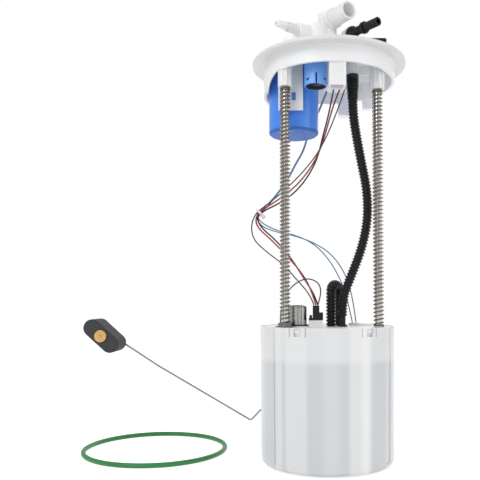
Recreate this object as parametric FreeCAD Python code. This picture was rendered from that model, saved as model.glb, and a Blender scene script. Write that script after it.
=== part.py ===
import FreeCAD, Part
import math
import os

# In-tank fuel pump module: a tank flange with its ports and vent valves, two sprung guide rods,
# and a reservoir cup that holds the pump, the regulator and the level sender with its float.
# The reservoir's axis is x = y = 0, the front is -Y. All sizes are in millimetres.
# Heights are measured from a datum DATUM_Z above the floor, and save() lifts each piece by it, so the feet
# stand on z = 0 in the exported frame.

V = FreeCAD.Vector
os.makedirs("parts", exist_ok=True)

# Clearances
FIT_GAP = 0.3        # between pieces that don't slide
RUN_GAP = 0.06       # radial, between a rod or pin and its bore
SEAT_GAP = 0.1       # between a piece and the wall that locates it

# Reservoir cup
DATUM_Z = 3.7        # height of the datum above the floor, which is how far the feet reach below it
RIM_R = 62.3         # outside radius at the rim
WALL_TAPER = 1.3     # the outside radius shrinks by this much from the rim to the base
BASE_R = RIM_R - WALL_TAPER
RIM_Z = 121.7
WALL = 2.0
FOOT_H = -2.0        # underside of the body, above its ring of short feet
FOOT_R = 50.0        # outside radius of the ring of feet
FOOT_W = 4.0
FOOT_GAPS = 8
FOOT_GAP_W = 8.0
FLOOR_T = 2.5
CORNER_R = 4.0
CLIP_COUNT = 6
CLIP_START = -117.5  # degrees, the first snap clip
CLIP_W = 15.2        # width of the springy tab between its two slits
CLIP_SLIT = 0.6
CLIP_SLIT_H = 8.0
CATCH_W = 6.6
CATCH_H = 6.4
CATCH_TOP = 1.2      # wall left above the catch window
PANEL_W = 10.0       # grooves down the wall in front of the rods
PANEL_DEPTH = 0.7
PANEL_Z = 3.0        # lower end of the grooves, which run out through the rim
INLET_R = 2.2        # six inlet holes in the base
INLET_PCD_R = 7.0
INLETS = 6
VALVE_STEM_R = 1.5   # rubber flap valve over the inlet holes
VALVE_DISC_R = 12.0
VALVE_DISC_T = 1.2
STRAINER_R = 20.0
STRAINER_BORE_R = 3.0

# Lid
LID_T = 3.0
LID_DROP = 0.5       # from the rim down to the lid's top face
LID_SKIRT_H = 8.0
LID_SKIRT_T = 1.8
SLEEVE_R = 5.6       # guide sleeves that hang below the lid
SLEEVE_H = 20.0
BUSH_WALL = 1.2
BUSH_LIP = 1.0       # bushing left proud below its sleeve
WEDGE_NOSE = 1.2     # upright face of each catch
WEDGE_ROOT = 1.0     # how deep each catch starts inside the lid
WEDGE_SHY = 0.4      # catch face behind the cup's outside
CAN_SEAT_WALL = 0.9
CAN_SEAT_H = 1.0
OUTLET_BOSS_WALL = 2.4
OUTLET_BOSS_H = 4.0
LOOP_BITE = 1.6      # lid left under the loop hose's wall

# Guide rods and springs
ROD_INSET = 9.3      # from the cup's rim in to the rods' axes
ROD_ANGLES = {"left": -137.2, "right": -33.2}   # degrees round the reservoir's axis
RODS = {side: ((RIM_R - ROD_INSET) * math.cos(math.radians(angle)),
               (RIM_R - ROD_INSET) * math.sin(math.radians(angle))) for side, angle in ROD_ANGLES.items()}
ROD_R = 3.15
ROD_TAIL = 12.0      # rod below its bushing, with the stop clip
ROD_INSERT = 26.0    # rod held inside its post
STOP_CLIP_R = 4.0
STOP_CLIP_T = 1.5
COIL_R = 4.9         # outside radius of the springs
WIRE_D = 1.25

# Flange
FLANGE_X = 2.4       # the flange's axis lies this far to the right of the reservoir's
LIP_R = 72.2
DECK_Z = 365.0       # underside of the flange
DECK_T = 3.5
SKIRT_R = 61.5
SKIRT_T = 2.5
SKIRT_H = 15.0
DEEP_Z = 337.0       # lower edge of the deeper stretch of skirt beside the vent canister
DEEP_ARC = (118.0, 219.5)
DEEP_SWEEP = ((-45.2, 350.6), (-51.2, 345.1), (-53.9, 336.7))   # x and z on its cut-away front edge
DEEP_SWEEP_BACK = -15.0     # the cut-away reaches back to this y
POST_R = 6.6         # over the posts' flutes
POST_CORE_R = 5.4
FLUTES = 9
FLUTE_T = 1.3
POST_Z = 335.4       # lower end of the rod posts
TOP_BOSS_R = 10.0    # domed boss on the deck over the vent canister
TOP_BOSS_Z = 396.0
TOP_BOSS_FILLET = 2.5
BOX_X = (-1.0, 13.5)     # front tower of the skirt
BOX_Y = (-59.4, -46.0)
BOX_Z = 330.0
BOX_WALL = 1.8
TOWER_A = ((14.7, 27.4), (40.0, 50.0), 332.3)
TOWER_B = ((37.9, 47.9), (26.0, 34.0), 335.0)
WIRE_BLOCK = ((-2.5, 18.4), (-15.0, 5.0), 344.0)
TONGUE_X = (-45.1, -22.7)
TONGUE_Y = (-27.6, -25.6)
TONGUE_Z = 317.3
WINDOW_X = (-33.0, -29.4)
WINDOW_Z = (326.3, 333.9)
GUSSET_X = (13.8, 20.8)  # rib beside the supply port
GUSSET_Y = (-12.0, -9.0)
GUSSET_Z = (395.7, 401.4)
RIB_T = 1.6
RIB_H = 8.0
RIB_START = 20.0     # the deck's ribs run from here to the skirt
RIB_ANGLES = (-10, 20, 80, 105)
LIP_FILLET = 1.2
STEM_COLLAR_WALL = 3.0

# Vent valves under the flange
CANISTER_R = 0.379 * SKIRT_R
CANISTER_INSET = 2.5     # from the skirt's inside to the canister
CANISTER = (FLANGE_X - SKIRT_R + SKIRT_T + CANISTER_INSET + CANISTER_R, 0.0)
CANISTER_Z = 301.0
CANISTER_WALL = 1.8
CANISTER_CAP_T = 2.6
CANISTER_NECK_R = 8.0
CANISTER_NECK_H = 2.0
CANISTER_BORE_R = 3.0
BASE_BEVEL = 1.4
BASE_SLITS = (1.5, 6.5)  # x of the two drain slits, from the canister's axis
BASE_SLIT_SIZE = (3.0, 1.6)
BASE_SLIT_Y = -14.0
VENT_FLOAT_GAP = 3.5     # from the float to the canister's wall
VENT_FLOAT_R = CANISTER_R - CANISTER_WALL - VENT_FLOAT_GAP
VENT_CONE_R = (6.0, 2.4)
VENT_FLOAT_H = 26.0
VENT_TRAVEL = 6.0
CUP = (-11.5, -37.0)
CUP_R = 10.4
CUP_Z = 335.6
CUP_WALL = 1.4
CUP_LEDGE_R = 7.5
CUP_LEDGE_Z = 1.0    # from the cup's mouth up to the ledge that holds its float
CUP_LEDGE_T = 0.8
CUP_FLOAT_GAP = 0.6
CUP_FLOAT_H = 13.5
CUP_CONE_R = (4.0, 1.5)
CUP_CONE_H = 5.0
CUP_SLOT_W = 1.3
CUP_SLOT_H = 9.5
CUP_NOTCH = (3.0, 1.9)   # width and height of the two side windows
CUP_NOTCH_Z = 3.6
CUP_NOTCH_ANGLE = 47.0

# Ports on top of the flange
PORT_Z = DECK_Z + DECK_T + 35.1      # axis of the vapour tube
CAP = (-8.5, -14.0)
CAP_R = 12.6
CAP_H = 31.0
CAP_FILLET = 2.5
CAP_FOOT = 3.0       # step round the cap's foot, as wide as it is high
ELBOW = (0.3, -14.717)
ELBOW_R = 8.8
ELBOW_TOP = 8.2      # from the vapour tube's axis up to the elbow's flat top
ELBOW_FILLET = 2.0
VAPOUR_MOUTH = (17.9, -41.5)
VAPOUR_R = 7.9
VAPOUR_BORE = 6.4
COLLAR_R = 9.2
COLLAR_AT = 8.5      # from the elbow's centre to the collar
COLLAR_W = 3.0
NOZZLE_Z = 391.0
NOZZLE_TIP = (-47.2, -42.9)
NOZZLE_R = 3.3
NOZZLE_BORE = 1.2
NOZZLE_SEAT = 10.0   # how deep the nozzle sits in its socket
SOCKET_R = 4.5
SOCKET_LEN = 36.0    # from the cap's axis, as the root's length
SOCKET_ROOT_R = 6.2
SOCKET_ROOT_LEN = 24.5
DOWN_BORE_R = 4.4    # passage from the elbow down to the vent valve
DOWN_BORE_BACK = 4.0
SUPPLY = (23.1, -19.5)
SUPPLY_MOUTH = (43.3, -45.0)
SUPPLY_Z = 391.5
SUPPLY_STEM_R = 5.0
SUPPLY_DOME_R = 6.4
SUPPLY_R = 3.9
SUPPLY_BORE = 2.5
BEAD_R = 5.4
BEAD_AT = 14.0
BEAD_W = 2.6
SUPPLY_COLLAR_H = 7.0
PLUG_X = (39.2, 55.6)    # electrical connector on the flange
PLUG_Y = (-16.0, 8.0)
PLUG_H = 20.0
PLUG_WALL = 1.8
PLUG_FLOOR = 3.0
PLUG_CORNER = 3.0
PIN_W = 2.8
PIN_T = 0.8
PIN_H = 14.0
PINS = 4

# Supply line
NIPPLE_R = 4.9
NIPPLE_Z = 352.3
BARB_R = 3.4
BARB_H = 15.0
BOOT_R = 5.8
BOOT_END_R = 4.9
BOOT_Z = 329.4
BOOT_STEP = (4.0, 12.0)  # heights at which the boot widens from its end to its body
HOSE_R = 4.5
HOSE_END = (13.5, -10.0)
HOSE_END_Z = 131.0
HOSE_ROUTE = [
    (23.3, -19.4, 317.5), (25.6, -18.4, 300.5), (30.8, -17.0, 273.0), (36.4, -15.6, 246.0),
    (37.0, -14.4, 219.0), (31.6, -13.2, 193.0), (21.5, -12.0, 167.0), (13.7, -10.2, 147.5),
]
LOOP_A = (3.5, -5.0)
LOOP_B = (12.5, 14.0)
LOOP_R = 4.65
LOOP_Z = 149.3       # where the legs of the loop hose end and its bend starts

# Pieces on the lid
CAN_FROM_ROD = (10.9, 14.0)
CAN = (RODS["left"][0] + CAN_FROM_ROD[0], RODS["left"][1] + CAN_FROM_ROD[1])     # pressure regulator
CAN_R = 8.5
CAN_TOP = 141.3
CAN_BASE_R = 10.0
CAN_BASE_T = 2.2
CAN_FILLET = 3.0
CONN_FROM_CAN = 10.5     # from the regulator's axis to the connector's plate
CONN_SIZE = (12.5, 10.0)
CONN_X = (CAN[0] + CONN_FROM_CAN, CAN[0] + CONN_FROM_CAN + CONN_SIZE[0])     # pump connector
CONN_Y = (CAN[1] - CONN_SIZE[1] / 2, CAN[1] + CONN_SIZE[1] / 2)
CONN_Z = (127.4, 140.6)
CONN_SOCKET_WALL = 1.2
CONN_PLATE_T = 1.8       # its plate over the socket
CONN_BODY_X = (CONN_X[0] + 3.7, CONN_X[1])
CONN_BODY_Z = 134.4
CONN_NECK_X = (CONN_X[0] + 3.5, CONN_X[0] + 9.3)
CONN_NECK_Y = (CONN_Y[0] + 2.0, CONN_Y[0] + 8.0)
CONN_LATCH_X = (CONN_X[0] + 0.5, CONN_X[0] + 2.9)
CONN_LATCH_Y = (CONN_Y[0] + 3.0, CONN_Y[0] + 7.0)
CONN_LATCH_Z = 132.0
CONN_EXIT = (CONN_NECK_X[1] - 2.9, CONN_NECK_Y[1] - 2.0, CONN_Z[1] + FIT_GAP)   # the middle wire's end
GROMMET = (28.2, 25.0)
GROMMET_R = 5.0
GROMMET_H = 0.6
GROMMET_NECK_R = 3.7
GROMMET_DISC = (35.5, 24.5)  # raised disc of the lid, which the grommet sits in
GROMMET_DISC_R = 12.6
GROMMET_DISC_H = 1.8
FITTING_R = 3.1          # supply fitting under the hose's end
FITTING_BASE = (4.6, 1.6)    # radius and height of its base
TERMINAL_R = 6.2
TERMINAL_T = 1.0
TERMINAL_COLLAR_H = 4.4
TERMINAL_TAB_X = (-8.6, -1.9)    # from the rod's axis
CRIMP_R = 1.6

# Wires
WIRE_R = 0.6
EXIT_PITCH = 1.8     # between the wires where they enter the connector
TIE_AT = (-62.5, -12.0, 226.0)
TIE_DIR = (-0.75, 0.0, -0.66)
TIE_RUN = 5.0        # straight run of each wire on either side of the tie
TIE_R = 2.7
TIE_T = 1.0
TIE_W = 2.4
TIE_PITCH = 1.5      # between neighbouring wires inside the tie
BLACK_TOP = [(6.6, -6.0, 343.7), (4.4, -6.5, 331.5), (0.6, -7.3, 314.5), (-4.4, -8.2, 296.0),
             (-8.8, -8.9, 277.0), (-18.5, -9.6, 258.5), (-31.0, -10.4, 243.8), (-45.5, -11.4, 234.0)]
BLACK_LOW = [(-61.5, -11.8, 212.5), (-48.0, -13.0, 201.0), (-33.5, -15.5, 184.0),
             (-20.5, -17.6, 163.0), (-12.4, -18.8, 150.5),
             (CONN_EXIT[0] + EXIT_PITCH, CONN_EXIT[1] + 0.6, CONN_EXIT[2])]
RED_TOP = [(12.7, -9.0, 343.7), (8.2, -9.0, 333.0), (3.6, -9.6, 319.0), (-0.9, -10.3, 302.5),
           (-6.4, -10.9, 284.5), (-15.5, -11.5, 267.0), (-28.5, -12.1, 251.0), (-43.5, -12.6, 239.0)]
RED_LOW = [(-65.0, -13.2, 212.5), (-52.5, -14.8, 201.5), (-37.0, -17.3, 185.5),
           (-22.5, -20.3, 168.5), (-14.4, -20.8, 152.5), CONN_EXIT]
GREY_TOP = [(17.2, -12.0, 343.7), (13.3, -12.2, 331.5), (7.2, -12.6, 315.5), (0.2, -13.0, 298.3),
            (-8.8, -13.4, 281.0), (-20.5, -13.7, 265.8), (-32.8, -13.9, 252.8), (-45.0, -13.8, 241.5)]
GREY_LOW = [(-70.5, -13.0, 212.0), (-67.5, -14.6, 200.0), (-56.0, -16.2, 189.5),
            (-40.5, -18.3, 178.0), (-28.0, -20.0, 163.5), (-16.4, -21.0, 150.5),
            (CONN_EXIT[0] - EXIT_PITCH, CONN_EXIT[1], CONN_EXIT[2])]
SENSE_A_TOP = [(0.2, 0.0, 343.7), (-5.0, 7.0, 331.0), (-12.2, 16.6, 318.0), (-17.5, 23.0, 306.0),
               (-21.6, 20.0, 291.0), (-29.0, 10.5, 277.0), (-36.8, 3.0, 260.0), (-48.6, -5.4, 241.8)]
SENSE_A_LOW = [(-61.0, -9.9, 213.2), (-46.0, -5.0, 208.6), (-28.0, 0.8, 205.4), (-10.5, 6.0, 199.4),
               (6.0, 11.0, 189.0), (19.0, 16.5, 171.0), (26.5, 21.5, 148.0), (30.0, 26.0, 123.9)]
SENSE_B_TOP = [(x + 0.6, y + 2.4, z) for x, y, z in SENSE_A_TOP]     # it lies behind the first
SENSE_B_LOW = [(-58.0, -7.8, 215.0), (-44.5, -2.8, 209.8), (-27.0, 2.9, 206.0), (-12.0, 7.8, 199.2),
               (0.5, 11.6, 187.5), (11.5, 15.5, 171.0), (20.5, 19.5, 150.0), (26.2, 24.0, 123.9)]
GROUND_ROUTE = [(RODS["left"][0] - 4.1, RODS["left"][1] + 7.4, 123.8), (-43.2, -28.0, 138.0),
                (-36.5, -27.6, 155.0), (-22.0, -27.0, 165.5), (-9.5, -25.8, 162.5), (-5.8, -24.6, 152.0),
                (CONN_EXIT[0] + 1.5, CONN_EXIT[1] - 2.4, CONN_EXIT[2])]

# Pump inside the reservoir
PUMP = (-1.5, 2.0)
PUMP_R = 19.0
PUMP_CASE_T = 1.2
PUMP_Z = (30.0, 88.0)
PUMP_END_T = 8.0
MAGNET_T = 4.0
MAGNET_ARC = 140.0
MAGNET_STARTS = (20.0, 200.0)
ARMATURE_R = 12.0
SHAFT_R = 2.0
IMPELLER_R = 15.0
IMPELLER_T = 3.0
CRADLE_T = 2.0
CRADLE_Z = 46.0
CUSHION_T = 2.4
STRAINER_H = 9.0
OUTLET_R = 4.0
OUTLET_BORE = 2.4
PUMP_INLET = (9.0, 3.0)  # offset and radius of the pump's inlet
JET_AT = (24.0, 26.0)
JET_R = 6.0
JET_H = 44.0
JET_ARM = (12.0, 6.0)
JET_ARM_R = 3.2
JET_ARM_Z = 10.0
JET_BORE_R = 3.0

# Level sender on the back of the reservoir
PAD_Y = RIM_R + 1.2
PAD_X = (-46.0, -10.0)
PAD_Z = (40.0, 102.0)
SENDER_T = 6.0
PIVOT = (-28.0, 70.0)    # x and z
CARD_W = 26.0
CARD_H = 20.0
CARD_T = 0.8
CARD_POCKET = 1.4
ARM_Y = PAD_Y + 13.5
ARM_R = 1.2
ARM_BENDS = [(-75.0, 20.0), (-173.8, 77.4)]   # x and z
ARM_BEND_R = 5.0
HUB_R = 6.0
WIPER_H = 20.0
FLOAT_AT = (-223.2, 109.6)                    # x and z
FLOAT_Y = (PAD_Y - 22.5, PAD_Y + 10.5)
FLOAT_LEN = 41.5
FLOAT_H = 17.5
FLOAT_TILT = 42.0
BRASS_R = 6.0
BRASS_T = 1.2

# Tank seal, shown taken off and lying beside the reservoir
SEAL_R = 2.25
SEAL_MEAN_R = (SKIRT_R + LIP_R) / 2 + 1.9
SEAL_AT = (-168.0, 45.0)

DECK_TOP = DECK_Z + DECK_T
LID_Z = RIM_Z - LID_DROP
LID_UNDER = LID_Z - LID_T
FLOOR_Z = FOOT_H + FLOOR_T
ROD_BORE_R = ROD_R + RUN_GAP
BUSH_R = ROD_BORE_R + BUSH_WALL
BUSH_END_Z = LID_Z - SLEEVE_H
ROD_END_Z = BUSH_END_Z - ROD_TAIL
LID_R = BASE_R - WALL + WALL_TAPER * (LID_UNDER - LID_SKIRT_H - FLOOR_Z) / (RIM_Z - FOOT_H) - FIT_GAP
UP = V(0, 0, 1)


def save(name, shape):
    """Write one piece, lifted from the datum to the floor."""
    shape = shape.Solids[0] if len(shape.Solids) == 1 else shape.copy()
    shape.translate(V(0, 0, DATUM_Z))
    shape.exportStep("parts/" + name + ".step")
    print(name, "solids", len(shape.Solids), "volume", round(shape.Volume, 1), "valid", shape.isValid())


def cylinder(radius, z0, z1, at=(0, 0)):
    return Part.makeCylinder(radius, z1 - z0, V(at[0], at[1], z0), UP)


def ring(outer, inner, z0, z1, at=(0, 0)):
    return cylinder(outer, z0, z1, at).cut(cylinder(inner, z0 - 1, z1 + 1, at))


def block(xs, ys, zs):
    return Part.makeBox(xs[1] - xs[0], ys[1] - ys[0], zs[1] - zs[0], V(xs[0], ys[0], zs[0]))


def bar(start, end, radius):
    start, end = V(*start), V(*end)
    return Part.makeCylinder(radius, (end - start).Length, start, end - start)


def revolve(points, at=(0, 0)):
    """Turn a closed outline of (radius, z) points round the vertical line through at."""
    outline = [V(at[0] + r, at[1], z) for r, z in points]
    face = Part.Face(Part.makePolygon(outline + outline[:1]))
    return face.revolve(V(at[0], at[1], 0), UP, 360)


def sector(outer, inner, z0, z1, angles, at=(0, 0)):
    """A ring's part between two angles in degrees."""
    face = Part.Face(Part.makePolygon([V(at[0] + r, at[1], z) for r, z in
                                       ((inner, z0), (outer, z0), (outer, z1), (inner, z1), (inner, z0))]))
    face.rotate(V(at[0], at[1], 0), UP, angles[0])
    return face.revolve(V(at[0], at[1], 0), UP, angles[1] - angles[0])


def turned(shape, angle, at=(0, 0)):
    copy = shape.copy()
    copy.rotate(V(at[0], at[1], 0), UP, angle)
    return copy


def fuse(shapes):
    return shapes[0].multiFuse(shapes[1:]).removeSplitter() if len(shapes) > 1 else shapes[0]


def rounded_path(points, share=0.45, bend_r=None):
    """Straight runs joined by tangent arcs, each as large as its two runs allow."""
    points = [V(*p) for p in points]
    edges, radii = [], []
    start = points[0]
    for before, corner, after in zip(points, points[1:], points[2:]):
        arrive = (corner - before).normalize()
        leave = (after - corner).normalize()
        half = arrive.getAngle(leave) / 2
        cut = share * min((corner - before).Length, (after - corner).Length)
        if bend_r:
            cut = bend_r * math.tan(half)
        radius = cut / math.tan(half)
        radii.append(radius)
        enter, leave_at = corner - arrive * cut, corner + leave * cut
        inward = (leave - arrive).normalize()
        middle = corner + inward * (radius / math.cos(half) - radius)
        edges.append(Part.LineSegment(start, enter).toShape())
        edges.append(Part.Arc(enter, middle, leave_at).toShape())
        start = leave_at
    edges.append(Part.LineSegment(start, points[-1]).toShape())
    return Part.Wire(edges), radii


def swept(name, points, radius, bend_r=None):
    path, radii = rounded_path(points, bend_r=bend_r)
    start, heading = V(*points[0]), V(*points[1]) - V(*points[0])
    section = Part.Wire(Part.makeCircle(radius, start, heading))
    tube = path.makePipeShell([section], True, False)
    expected = math.pi * radius ** 2 * path.Length
    print(name, "radii", [round(r) for r in radii], "length", round(path.Length, 1),
          "volume ratio", round(tube.Volume / expected, 4))
    return tube


def make_reservoir():
    height = RIM_Z - FOOT_H
    outer = Part.makeCone(BASE_R, RIM_R, height, V(0, 0, FOOT_H), UP)
    outer = outer.makeFillet(CORNER_R, [e for e in outer.Edges if e.BoundBox.ZMax < FOOT_H + 1])
    inner = Part.makeCone(BASE_R - WALL, RIM_R - WALL, height, V(0, 0, FLOOR_Z), UP)
    inner = inner.makeFillet(CORNER_R - WALL, [e for e in inner.Edges if e.BoundBox.ZMax < FLOOR_Z + 1])
    pad = block(PAD_X, (0, PAD_Y), PAD_Z)
    feet = ring(FOOT_R, FOOT_R - FOOT_W, -DATUM_Z, FOOT_H + 1)
    for i in range(FOOT_GAPS):
        gap = block((0, FOOT_R + 1), (-FOOT_GAP_W / 2, FOOT_GAP_W / 2), (-DATUM_Z - 1, FOOT_H))
        feet = feet.cut(turned(gap, i * 360 / FOOT_GAPS))
    body = fuse([outer, pad, feet]).cut(inner)
    cuts = []
    recess = Part.makeCone(BASE_R - PANEL_DEPTH, RIM_R - PANEL_DEPTH, height, V(0, 0, FOOT_H), UP)
    for angle in ROD_ANGLES.values():
        panel = block((RIM_R / 2, RIM_R + 1), (-PANEL_W / 2, PANEL_W / 2), (PANEL_Z, RIM_Z))
        cuts.append(turned(panel.cut(recess), angle))
    for i in range(CLIP_COUNT):
        angle = CLIP_START + i * 360 / CLIP_COUNT
        top = RIM_Z - CATCH_TOP
        window = block((RIM_R - 2 * WALL, RIM_R + 1), (-CATCH_W / 2, CATCH_W / 2), (top - CATCH_H, top))
        cuts.append(turned(window, angle))
        for side in (-1, 1):
            middle = side * CLIP_W / 2
            slit = block((RIM_R - 2 * WALL, RIM_R + 1), (middle - CLIP_SLIT / 2, middle + CLIP_SLIT / 2),
                         (RIM_Z - CLIP_SLIT_H, RIM_Z + 1))
            cuts.append(turned(slit, angle))
    for i in range(INLETS):
        hole = cylinder(INLET_R, -DATUM_Z, FLOOR_Z + 1, (INLET_PCD_R, 0))
        cuts.append(turned(hole, i * 360 / INLETS))
    cuts.append(cylinder(VALVE_STEM_R + SEAT_GAP, -DATUM_Z, FLOOR_Z + 1))
    return body.cut(Part.makeCompound(cuts))


def lid_hole(at, radius):
    return cylinder(radius, BUSH_END_Z - 1, CONN_Z[0] + 1, at)


def lid_catch():
    """One catch, which leans out of the lid's edge at angle 0 into the cup's window."""
    top = RIM_Z - CATCH_TOP - FIT_GAP
    low = RIM_Z - CATCH_TOP - CATCH_H + FIT_GAP
    reach = RIM_R - WEDGE_SHY
    inner = LID_R - WEDGE_ROOT
    outline = [(inner, top), (reach, top), (reach, top - WEDGE_NOSE), (inner + FIT_GAP, low), (inner, low)]
    width = CATCH_W - 2 * FIT_GAP
    points = [V(r, -width / 2, z) for r, z in outline]
    return Part.Face(Part.makePolygon(points + points[:1])).extrude(V(0, width, 0))


def make_lid():
    pieces = [cylinder(LID_R, LID_UNDER, LID_Z)]
    pieces.append(ring(LID_R, LID_R - LID_SKIRT_T, LID_UNDER - LID_SKIRT_H, LID_UNDER + 1))
    for at in RODS.values():
        pieces.append(cylinder(SLEEVE_R, BUSH_END_Z, LID_UNDER + 1, at))
    pieces.append(cylinder(CAN_BASE_R + CAN_SEAT_WALL, LID_UNDER, LID_Z + CAN_SEAT_H, CAN))
    pieces.append(cylinder(GROMMET_DISC_R, LID_UNDER, LID_Z + GROMMET_DISC_H, GROMMET_DISC))
    pieces.append(block(CONN_X, CONN_Y, (LID_UNDER, CONN_Z[0])))
    pieces.append(cylinder(OUTLET_R + OUTLET_BOSS_WALL, LID_UNDER - OUTLET_BOSS_H, LID_UNDER + 1, HOSE_END))
    for i in range(CLIP_COUNT):
        pieces.append(turned(lid_catch(), CLIP_START + i * 360 / CLIP_COUNT))
    cuts = [lid_hole(at, BUSH_R + SEAT_GAP) for at in RODS.values()]
    cuts.append(lid_hole(HOSE_END, OUTLET_R + SEAT_GAP))
    cuts.append(cylinder(CAN_BASE_R + SEAT_GAP, LID_Z, LID_Z + CAN_SEAT_H + 1, CAN))
    cuts.append(lid_hole(GROMMET, GROMMET_NECK_R + SEAT_GAP))
    for at in (LOOP_A, LOOP_B):
        cuts.append(lid_hole(at, LOOP_R - LOOP_BITE))
    cuts.append(block((CONN_X[0] + CONN_SOCKET_WALL, CONN_X[1] - CONN_SOCKET_WALL),
                      (CONN_Y[0] + CONN_SOCKET_WALL, CONN_Y[1] - CONN_SOCKET_WALL), (LID_Z, CONN_Z[0] + 1)))
    return fuse(pieces).cut(Part.makeCompound(cuts))


def make_bushings():
    z0 = BUSH_END_Z - BUSH_LIP
    return Part.makeCompound([ring(BUSH_R, ROD_BORE_R, z0, LID_Z, at) for at in RODS.values()])


def make_strainer():
    return ring(STRAINER_R, STRAINER_BORE_R, FIT_GAP - DATUM_Z, FOOT_H - SEAT_GAP)


def make_inlet_valve():
    z0 = FLOOR_Z + SEAT_GAP
    disc = cylinder(VALVE_DISC_R, z0, z0 + VALVE_DISC_T)
    stem = cylinder(VALVE_STEM_R, FOOT_H - VALVE_DISC_T, z0 + VALVE_DISC_T)
    return fuse([disc, stem])


def make_regulator():
    base_top = LID_Z + SEAT_GAP + CAN_BASE_T
    flange = ring(CAN_BASE_R, CAN_R + SEAT_GAP, LID_Z + SEAT_GAP, base_top, CAN)
    can = cylinder(CAN_R, LID_Z + SEAT_GAP, CAN_TOP, CAN)
    can = can.makeFillet(CAN_FILLET, [e for e in can.Edges if e.BoundBox.ZMin > CAN_TOP - 0.1])
    return can, flange


def make_ground_terminal():
    z0 = LID_Z + SEAT_GAP
    rod = RODS["left"]
    crimp_x, crimp_y, crimp_z = GROUND_ROUTE[0]
    plate = ring(TERMINAL_R, COIL_R - WIRE_D, z0, z0 + TERMINAL_T, rod)
    tab = block((rod[0] + TERMINAL_TAB_X[0], rod[0] + TERMINAL_TAB_X[1]),
                (rod[1] + TERMINAL_R - 2 * TERMINAL_T, crimp_y + CRIMP_R), (z0, z0 + TERMINAL_T))
    collar = ring(TERMINAL_R, COIL_R + SEAT_GAP, z0, z0 + TERMINAL_COLLAR_H, rod)
    crimp = cylinder(CRIMP_R, z0, crimp_z, (crimp_x, crimp_y))
    return fuse([plate, tab, collar, crimp])


def make_pump_connector():
    z0 = CONN_Z[0] + SEAT_GAP
    plate = block(CONN_X, CONN_Y, (z0, z0 + CONN_PLATE_T))
    body = block(CONN_BODY_X, CONN_Y, (z0, CONN_BODY_Z))
    neck = block(CONN_NECK_X, CONN_NECK_Y, (z0, CONN_Z[1]))
    latch = block(CONN_LATCH_X, CONN_LATCH_Y, (z0, CONN_LATCH_Z))
    inset = CONN_SOCKET_WALL + FIT_GAP
    plug = block((CONN_X[0] + inset, CONN_X[1] - inset), (CONN_Y[0] + inset, CONN_Y[1] - inset),
                 (LID_Z + FIT_GAP, z0 + CONN_PLATE_T))
    return fuse([plate, body, neck, latch, plug])


def make_supply_fitting():
    base_r, base_h = FITTING_BASE
    tube = ring(FITTING_R, OUTLET_BORE, LID_Z, HOSE_END_Z - SEAT_GAP, HOSE_END)
    base = ring(base_r, OUTLET_BORE, LID_Z + SEAT_GAP, LID_Z + base_h, HOSE_END)
    return fuse([tube, base])


def make_loop_hose():
    a, b = V(*LOOP_A, LID_Z), V(*LOOP_B, LID_Z)
    rise = V(0, 0, LOOP_Z - LID_Z)
    reach = (b - a).Length / 2
    middle = (a + b) / 2 + rise + V(0, 0, reach)
    path = Part.Wire([Part.LineSegment(a, a + rise).toShape(), Part.Arc(a + rise, middle, b + rise).toShape(),
                      Part.LineSegment(b + rise, b).toShape()])
    section = Part.Wire(Part.makeCircle(LOOP_R, a, UP))
    return path.makePipeShell([section], True, False)


def make_grommet():
    z0 = LID_Z + GROMMET_DISC_H
    body = cylinder(GROMMET_R, z0, z0 + GROMMET_H, GROMMET)
    neck = cylinder(GROMMET_NECK_R, LID_UNDER - 1, z0 + GROMMET_H, GROMMET)
    return fuse([body, neck])


def make_pump():
    z0, z1 = PUMP_Z
    inner = PUMP_R - PUMP_CASE_T
    case = ring(PUMP_R, inner, z0, z1, PUMP)
    cap = cylinder(inner - SEAT_GAP, z1 - PUMP_END_T, z1 - 1, PUMP)
    cap = fuse([cap, cylinder(PUMP_R - 4, z1 - 2, z1 + 3, PUMP), cylinder(OUTLET_R, z1, z1 + 8, PUMP)])
    cap = cap.cut(cylinder(OUTLET_BORE, z1 - 3, z1 + 9, PUMP))
    cap = cap.cut(cylinder(SHAFT_R + RUN_GAP, 0, z1 - 3, PUMP))
    cover = cylinder(inner - SEAT_GAP, z0 + 1, z0 + PUMP_END_T, PUMP)
    cover = cover.cut(cylinder(IMPELLER_R + FIT_GAP, z0 + PUMP_END_T - IMPELLER_T - 1, z1, PUMP))
    cover = cover.cut(cylinder(SHAFT_R + RUN_GAP, z0, z1, PUMP))
    cover = cover.cut(cylinder(PUMP_INLET[1], 0, z0 + PUMP_END_T + 1, (PUMP[0] + PUMP_INLET[0], PUMP[1])))
    low, high = z0 + PUMP_END_T + 4, z1 - PUMP_END_T - 3
    outer = inner - SEAT_GAP
    magnets = [sector(outer, outer - MAGNET_T, low, high, (start, start + MAGNET_ARC), PUMP)
               for start in MAGNET_STARTS]
    return case, cap, cover, Part.makeCompound(magnets)


def make_rotor():
    z0, z1 = PUMP_Z
    shaft = cylinder(SHAFT_R, z0 + 2, z1 - 4, PUMP)
    armature = cylinder(ARMATURE_R, z0 + PUMP_END_T + 5, z1 - PUMP_END_T - 6, PUMP)
    commutator = cylinder(6, z1 - PUMP_END_T - 6, z1 - PUMP_END_T - 1, PUMP)
    armature = fuse([armature, commutator]).cut(cylinder(SHAFT_R + 0.02, 0, z1, PUMP))
    top = z0 + PUMP_END_T - FIT_GAP
    impeller = ring(IMPELLER_R, SHAFT_R + 0.02, top - IMPELLER_T, top, PUMP)
    return shaft, armature, impeller


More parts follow.
